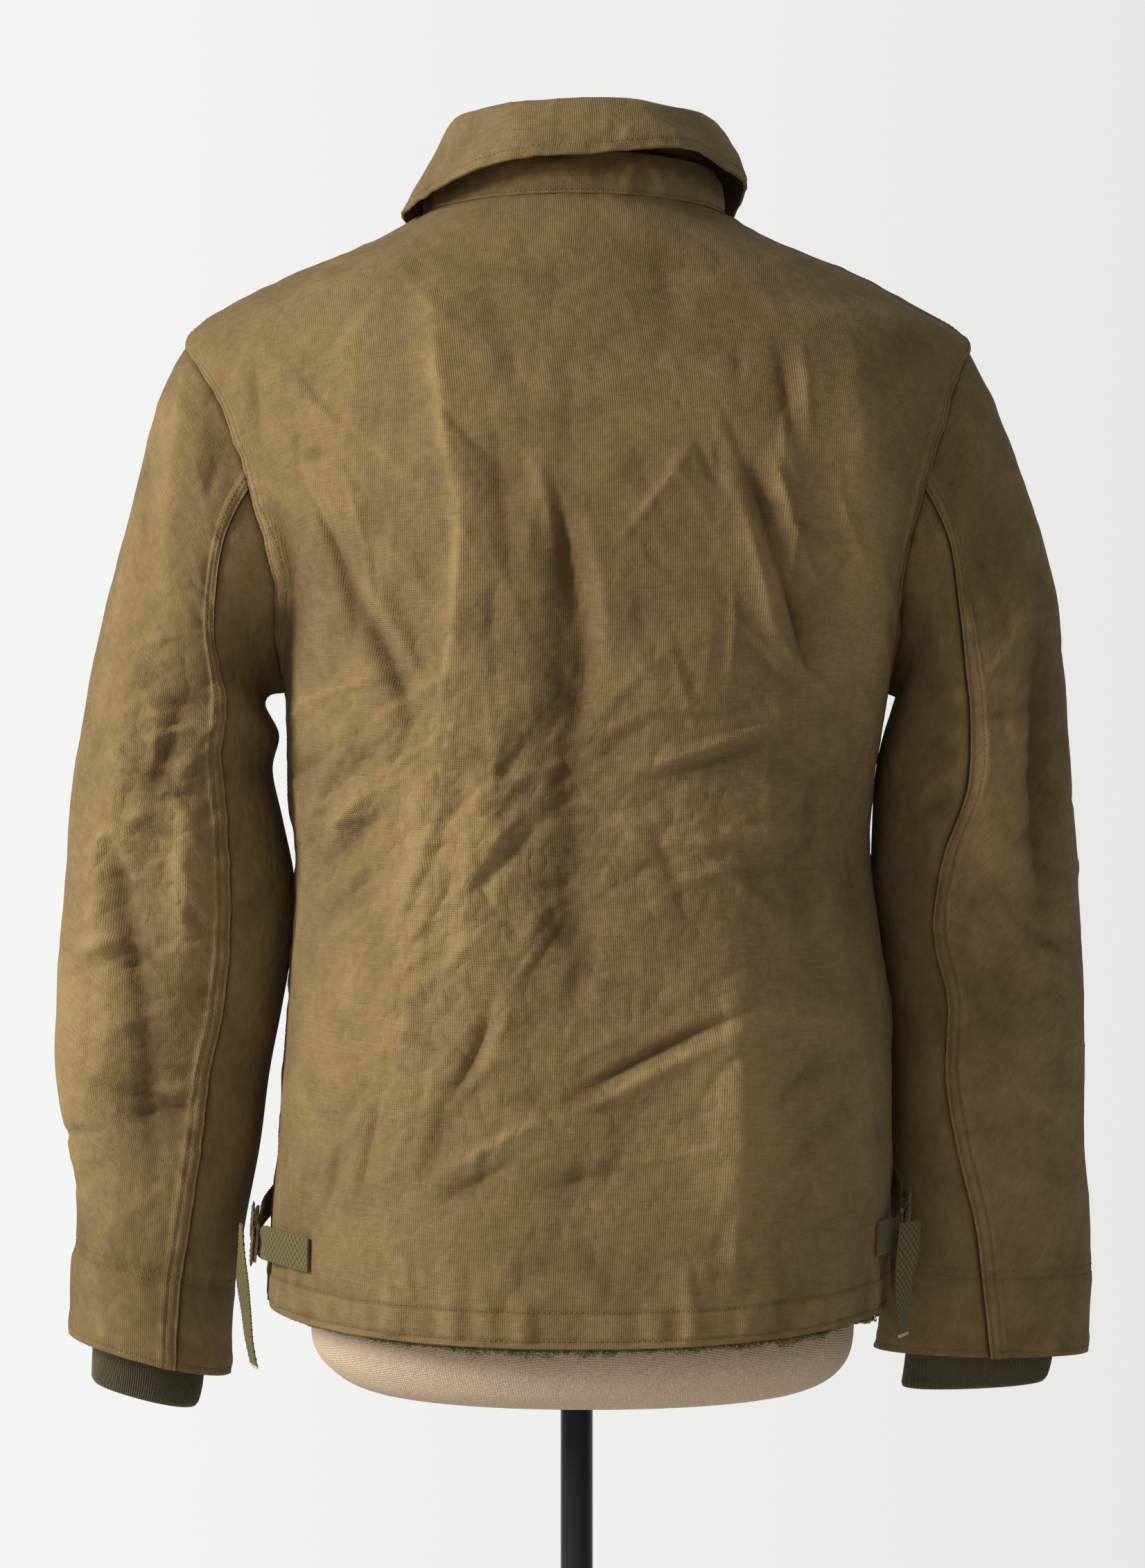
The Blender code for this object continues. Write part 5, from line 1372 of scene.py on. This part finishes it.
def build_tufts():
    """Small curls of pile along the hem, each a bent, tapering tube."""
    angle = RANDOM.uniform(-180, 180, TUFTS)
    hem = torso(np.zeros(TUFTS), angle)
    outward = normals(torso, np.full(TUFTS, 0.02), angle)
    seen_at = picture(hem)[0]
    thick = np.exp(-((seen_at - 775) / 95) ** 2) + np.exp(-((seen_at - 1170) / 90) ** 2)
    thin = ease(seen_at - 500, 60)
    clump = 0.5 + 0.5 * noise(hem, 14, 91)
    behind = (3.0 + 3.4 * clump + 4.0 * thick * clump) * (0.35 + 0.65 * thin)
    drop = np.where(np.abs(angle) < 90, behind, 1 + 2.5 * clump)
    depth = RANDOM.uniform(2.6, 8.5, TUFTS)
    height = 1.5 - drop * RANDOM.uniform(0, 1, TUFTS) ** 0.6
    start = hem - outward * depth[:, None] + np.stack([np.zeros(TUFTS), np.zeros(TUFTS), height], -1)
    axis = unit(RANDOM.normal(0, 1, (TUFTS, 3)))
    arm = unit(np.cross(axis, RANDOM.normal(0, 1, (TUFTS, 3))))
    other = np.cross(axis, arm)
    radius = RANDOM.uniform(0.8, 1.7, TUFTS)
    curl = RANDOM.uniform(2.5, 5.5, TUFTS)
    rings = []
    for step in range(TUFT_STEPS):
        share = step / (TUFT_STEPS - 1)
        turn = (curl * share)[:, None]
        spoke = arm * np.cos(turn) + other * np.sin(turn)
        centre = start + spoke * radius[:, None] + axis * (share * 0.9)
        thread = 0.42 * (1 - 0.6 * share) * (0.6 + 0.4 * min(step, 1))
        for k in range(3):
            around = 2 * np.pi * k / 3
            rings.append(centre + thread * (spoke * math.cos(around) + axis * math.sin(around)))
    points = np.stack(rings, 1).reshape(TUFTS, TUFT_STEPS * 3, 3)
    base = grid_faces(TUFT_STEPS, 3, ring=True)
    faces = (np.arange(TUFTS)[:, None, None] * TUFT_STEPS * 3 + base).reshape(-1, 4)
    tufts = mesh_object("lining_tufts", points.reshape(-1, 3) + (GARMENT_X, 0, 0), faces, PILE)
    dress(tufts, None)
    print("tufts:", TUFTS)


build_tufts()

# %% [markdown]
# ## The side straps
#
# Cotton webbing 20 mm wide, sewn to the back panel, turned round one bar of a metal slide and left
# hanging. A second strap comes from the front to the other bar. The webbing's coarse basket weave
# is real: a fine grid whose two faces rise over and under.

# %%
WEB_WIDTH, WEB_THICK = 20.0, 1.4
STRAPS = {-1: (55, 865, 83, 867, 9.5), 1: (66, 871, 81, 879, 8.5)}
TAILS = {
    -1: ((-194, -24, 872, 8), (-194, -23, 856, 14), (-193.5, -21, 838, 24), (-191.5, -19, 819, 20),
         (-190, -17, 803, 17), (-187, -15, 787, 15)),
    1: ((196, -47, 876, 42), (194.5, -46, 857, 44), (192.5, -42, 838, 34), (192.5, -38, 820, 24),
        (193, -35, 808, 20)),
}
BUCKLE_HALF_LENGTH, BUCKLE_THICK = 9.0, 1.6
LAID_GAP = 0.3
WEAVE_RISE = 0.3


def on_body(side, angle, height, out):
    """A point that lies out from the body's surface, and the way the surface faces there."""
    ring = np.interp(height, [row[1] for row in TORSO], range(len(TORSO)))
    outward = normals(torso, np.array(ring), np.array(side * angle, float))
    return torso(ring, side * angle) + out * outward, outward


def buckle_frame(side):
    """The buckle's middle and its axes: along the strap towards the front, across it, and out."""
    _, _, angle, height, out = STRAPS[side]
    middle, outward = on_body(side, angle, height, out)
    forward = np.array([0.0, 0.88, 0.47])
    forward = unit(forward - outward * (forward @ outward))
    return middle, forward, np.cross(outward, forward) * side, outward


def turn_round(side, bar, back_side, steps=4):
    """Webbing that turns round a bar of the buckle from below to above."""
    middle, forward, _, outward = buckle_frame(side)
    radius = BUCKLE_THICK / 2 + LAID_GAP + WEB_THICK / 2 + 0.4
    centres, up = [], []
    for i in range(steps + 1):
        turn = math.pi * i / steps
        reach = math.sin(turn) * radius * back_side
        centres.append(middle + forward * (bar + 0.8 * back_side + reach) - outward * radius * math.cos(turn))
        up.append(outward * math.cos(turn) - forward * math.sin(turn) * back_side)
    for step in (5.0, 11.0):
        centres.append(centres[steps] - forward * step * back_side)
        up.append(-outward)
    return centres, up

# %%
def webbing(name, node, centres, across, up):
    """A band of webbing with rounded edges and a basket weave on both faces."""
    path = np.concatenate([np.array(centres), unit(np.array(across)), unit(np.array(up))], 1)
    gaps = np.linalg.norm(np.diff(path[:, :3], axis=0), axis=1)
    length = gaps.sum()
    count = int(length / 0.7)
    reached = np.concatenate([[0], np.cumsum(gaps)])
    at = np.interp(np.linspace(0, length, count), reached, np.arange(len(path)))
    fine = along(path, at)
    centre, wide, above = fine[:, :3], unit(fine[:, 3:6]), unit(fine[:, 6:])
    face = np.linspace(-1, 1, 27)
    u = face * WEB_WIDTH / 2
    v = np.linspace(0, length, count)[:, None]
    basket = 1.5 * np.sin(np.pi * u / 2.3) * np.sin(np.pi * v / 2.1)
    half = WEB_THICK / 2 * np.sqrt(np.clip(1 - np.abs(face) ** 8, 0.02, 1))
    flat = centre[:, None] + wide[:, None] * u[None, :, None]
    top = flat + above[:, None] * (half + WEAVE_RISE * basket)[..., None]
    under = flat - above[:, None] * (half - WEAVE_RISE * basket)[..., None]
    points = np.concatenate([top, under[:, ::-1]], 1)
    ends = [np.broadcast_to(p.mean(0), (1, *p.shape)) for p in (points[0], points[-1])]
    points = np.concatenate([ends[0], points, ends[1]])
    height = np.concatenate([basket, -basket[:, ::-1]], 1)
    height = np.concatenate([height[:1], height, height[-1:]])
    faces = grid_faces(points.shape[0], points.shape[1], ring=True)
    obj = mesh_object(name, points.reshape(-1, 3) + (GARMENT_X, 0, 0), faces, WEBBING)
    # Raised threads are painted lighter and the weave's hollows darker: painted highlight and painted shade,
    # with some rubbing.
    shade = obj.data.attributes.new("wear", "FLOAT", "POINT")
    shade.data.foreach_set("value", (0.5 + 0.33 * height).astype(np.float32).ravel())
    side = (np.cross(wide[0], above[0]) @ (centre[1] - centre[0])) > 0
    if not side:
        obj.data.flip_normals()
    obj.data.materials.append(FRAYED)
    dress(obj, node)
    return obj, length, points.shape

# %%
def build_straps(side, word):
    """The back strap, the front strap and the loose tail of one side."""
    _, forward, across, outward = buckle_frame(side)
    end_angle, end_z, angle, height, out = STRAPS[side]
    lie = WEB_THICK / 2 + LAID_GAP + 0.9
    centres, up, wide = [], [], []
    for share, rise in ((0, 0), (0.25, 0.03), (0.5, 0.2), (0.68, 0.5)):
        point, normal = on_body(side, end_angle + (angle - end_angle) * share, end_z, lie + rise * out)
        centres.append(point)
        up.append(normal)
        wide.append(np.array([0.0, 0, 1]) - normal * normal[2])
    loop, loop_up = turn_round(side, -BUCKLE_HALF_LENGTH, 1)
    strap, length, _ = webbing(
        f"strap_back_{word}_web", f"strap_back_{word}", centres + loop, wide + [across] * len(loop),
        up + loop_up)
    centres, up, wide = [], [], []
    for share, rise in ((1, 0.0), (0.6, 0.12), (0.25, 0.5)):
        point, normal = on_body(side, angle + 26 * share, height + 6 + 22 * share, lie + rise * out)
        centres.append(point)
        up.append(normal)
        wide.append(np.cross(normal, -forward) * -side)
    loop, loop_up = turn_round(side, BUCKLE_HALF_LENGTH, -1)
    strap, length, _ = webbing(
        f"strap_front_{word}_web", f"strap_front_{word}", centres + loop, wide + [across] * len(loop),
        up + loop_up)
    centres, up, wide = [], [], []
    for x, y, z, turn in TAILS[side]:
        c, n = math.cos(math.radians(turn)), math.sin(math.radians(turn))
        centres.append(np.array([x, y, z], float))
        wide.append(np.array([n * side, c, 0.0]))
        up.append(np.array([c * side, -n, 0.0]))
    tail, length, shape = webbing(f"strap_tail_{word}_web", f"strap_tail_{word}", centres, wide, up)
    row = np.arange(len(tail.data.polygons)) // shape[1]
    tail.data.polygons.foreach_set("material_index", (row > shape[0] - 7).astype(np.int32))


for side, word in SIDES:
    build_straps(side, word)
    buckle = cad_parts[f"buckle_{word}"]
    buckle.data.materials.clear()
    buckle.data.materials.append(METAL)
    bevel = buckle.modifiers.new("worn edges", "BEVEL")
    bevel.width = 0.0004
    bevel.segments = 2

# %% [markdown]
# ## Light, stage and camera
#
# A photographer's set: a near white background, a window light from the left, a wide soft fill from
# the camera's side, and a little light from the upper right. The right sleeve stays dark.

# %%
def area_light(name, place, target, size, watts, colour):
    """A rectangular lamp that points at its target. Its place and size are in metres."""
    data = bpy.data.lights.new(name, "AREA")
    data.shape = "RECTANGLE"
    data.size, data.size_y = size
    data.energy = watts
    data.color = colour
    lamp = bpy.data.objects.new(name, data)
    bpy.context.scene.collection.objects.link(lamp)
    lamp.location = place
    x, y, z = (t - p for t, p in zip(target, place))
    lamp.rotation_euler = (math.atan2(math.hypot(x, y), -z), 0, math.atan2(-x, y))


LIGHT_COLUMNS = ("name", "place", "target", "size", "watts", "colour")
LIGHTS = (
    ("window", (-2.2, -1.1, 2.05), (0, 0, 1.1), (0.75, 1.1), 93, (1.0, 0.98, 0.95)),
    ("fill", (-0.5, -3.1, 2.0), (0, 0, 1.1), (1.6, 1.6), 22, (1.0, 0.99, 0.97)),
    ("return", (1.3, -2.3, 2.7), (0.1, 0, 1.3), (1.0, 1.0), 9, (1.0, 0.99, 0.97)),
)
for light in LIGHTS:
    area_light(*light)

# %%
world = bpy.data.worlds.new("studio")
bpy.context.scene.world = world
world.use_nodes = True
sky = world.node_tree
sky.nodes.clear()
seen = add_node(sky, "ShaderNodeLightPath").outputs["Is Camera Ray"]
direction = add_node(sky, "ShaderNodeTexCoord").outputs["Generated"]
heading = add_node(sky, "ShaderNodeSeparateXYZ", {0: direction})
# The background seen by the camera is painted brighter on the left and darker on the right, a painted falloff
# of the window light on the wall. Other rays see the ambient light, brighter from behind.
level = combine(sky, "MULTIPLY_ADD", heading.outputs["X"], -0.42)
level.node.inputs[2].default_value = 0.86
backdrop_painted_falloff = add_node(sky, "ShaderNodeBackground", {0: (1.0, 0.998, 0.992, 1), 1: level})
wall_range = {0: heading.outputs["Y"], 1: -0.3, 2: 0.9, 3: 0.07, 4: 0.9}
wall = add_node(sky, "ShaderNodeMapRange", wall_range).outputs[0]
ambient = add_node(sky, "ShaderNodeBackground", {0: (0.98, 0.99, 1.0, 1), 1: wall})
mixed = add_node(sky, "ShaderNodeMixShader", {0: seen, 1: ambient.outputs[0], 2: backdrop_painted_falloff.outputs[0]})
add_node(sky, "ShaderNodeOutputWorld", {0: mixed.outputs[0]})

floor_material = new_material("pale floor", (0.72, 0.72, 0.71), 0.8)[0]
FLOOR_RADIUS, FLOOR_SIDES, FLOOR_DROP = 3000.0, 64, 0.5
turn = np.linspace(0, 2 * np.pi, FLOOR_SIDES, endpoint=False)
ring = FLOOR_RADIUS * np.stack([np.cos(turn), np.sin(turn), np.zeros(FLOOR_SIDES)], -1)
floor_face = np.arange(FLOOR_SIDES)[None]
floor = mesh_object("floor", ring - (0, 0, FLOOR_DROP), floor_face, floor_material, smooth=False)

# %%
camera_data = bpy.data.cameras.new("camera")
SENSOR_SIZE = 36.0
camera_data.sensor_width = SENSOR_SIZE
camera_data.lens = SENSOR_SIZE * CAMERA_DISTANCE / (PICTURE_HEIGHT * PIXEL)
camera = bpy.data.objects.new("camera", camera_data)
bpy.context.scene.collection.objects.link(camera)
camera.location = (GARMENT_X * MM, -CAMERA_DISTANCE * MM, CAMERA_HEIGHT * MM)
camera.rotation_euler = (math.pi / 2, 0, 0)
bpy.context.scene.camera = camera
bpy.context.scene.view_settings.view_transform = "Standard"
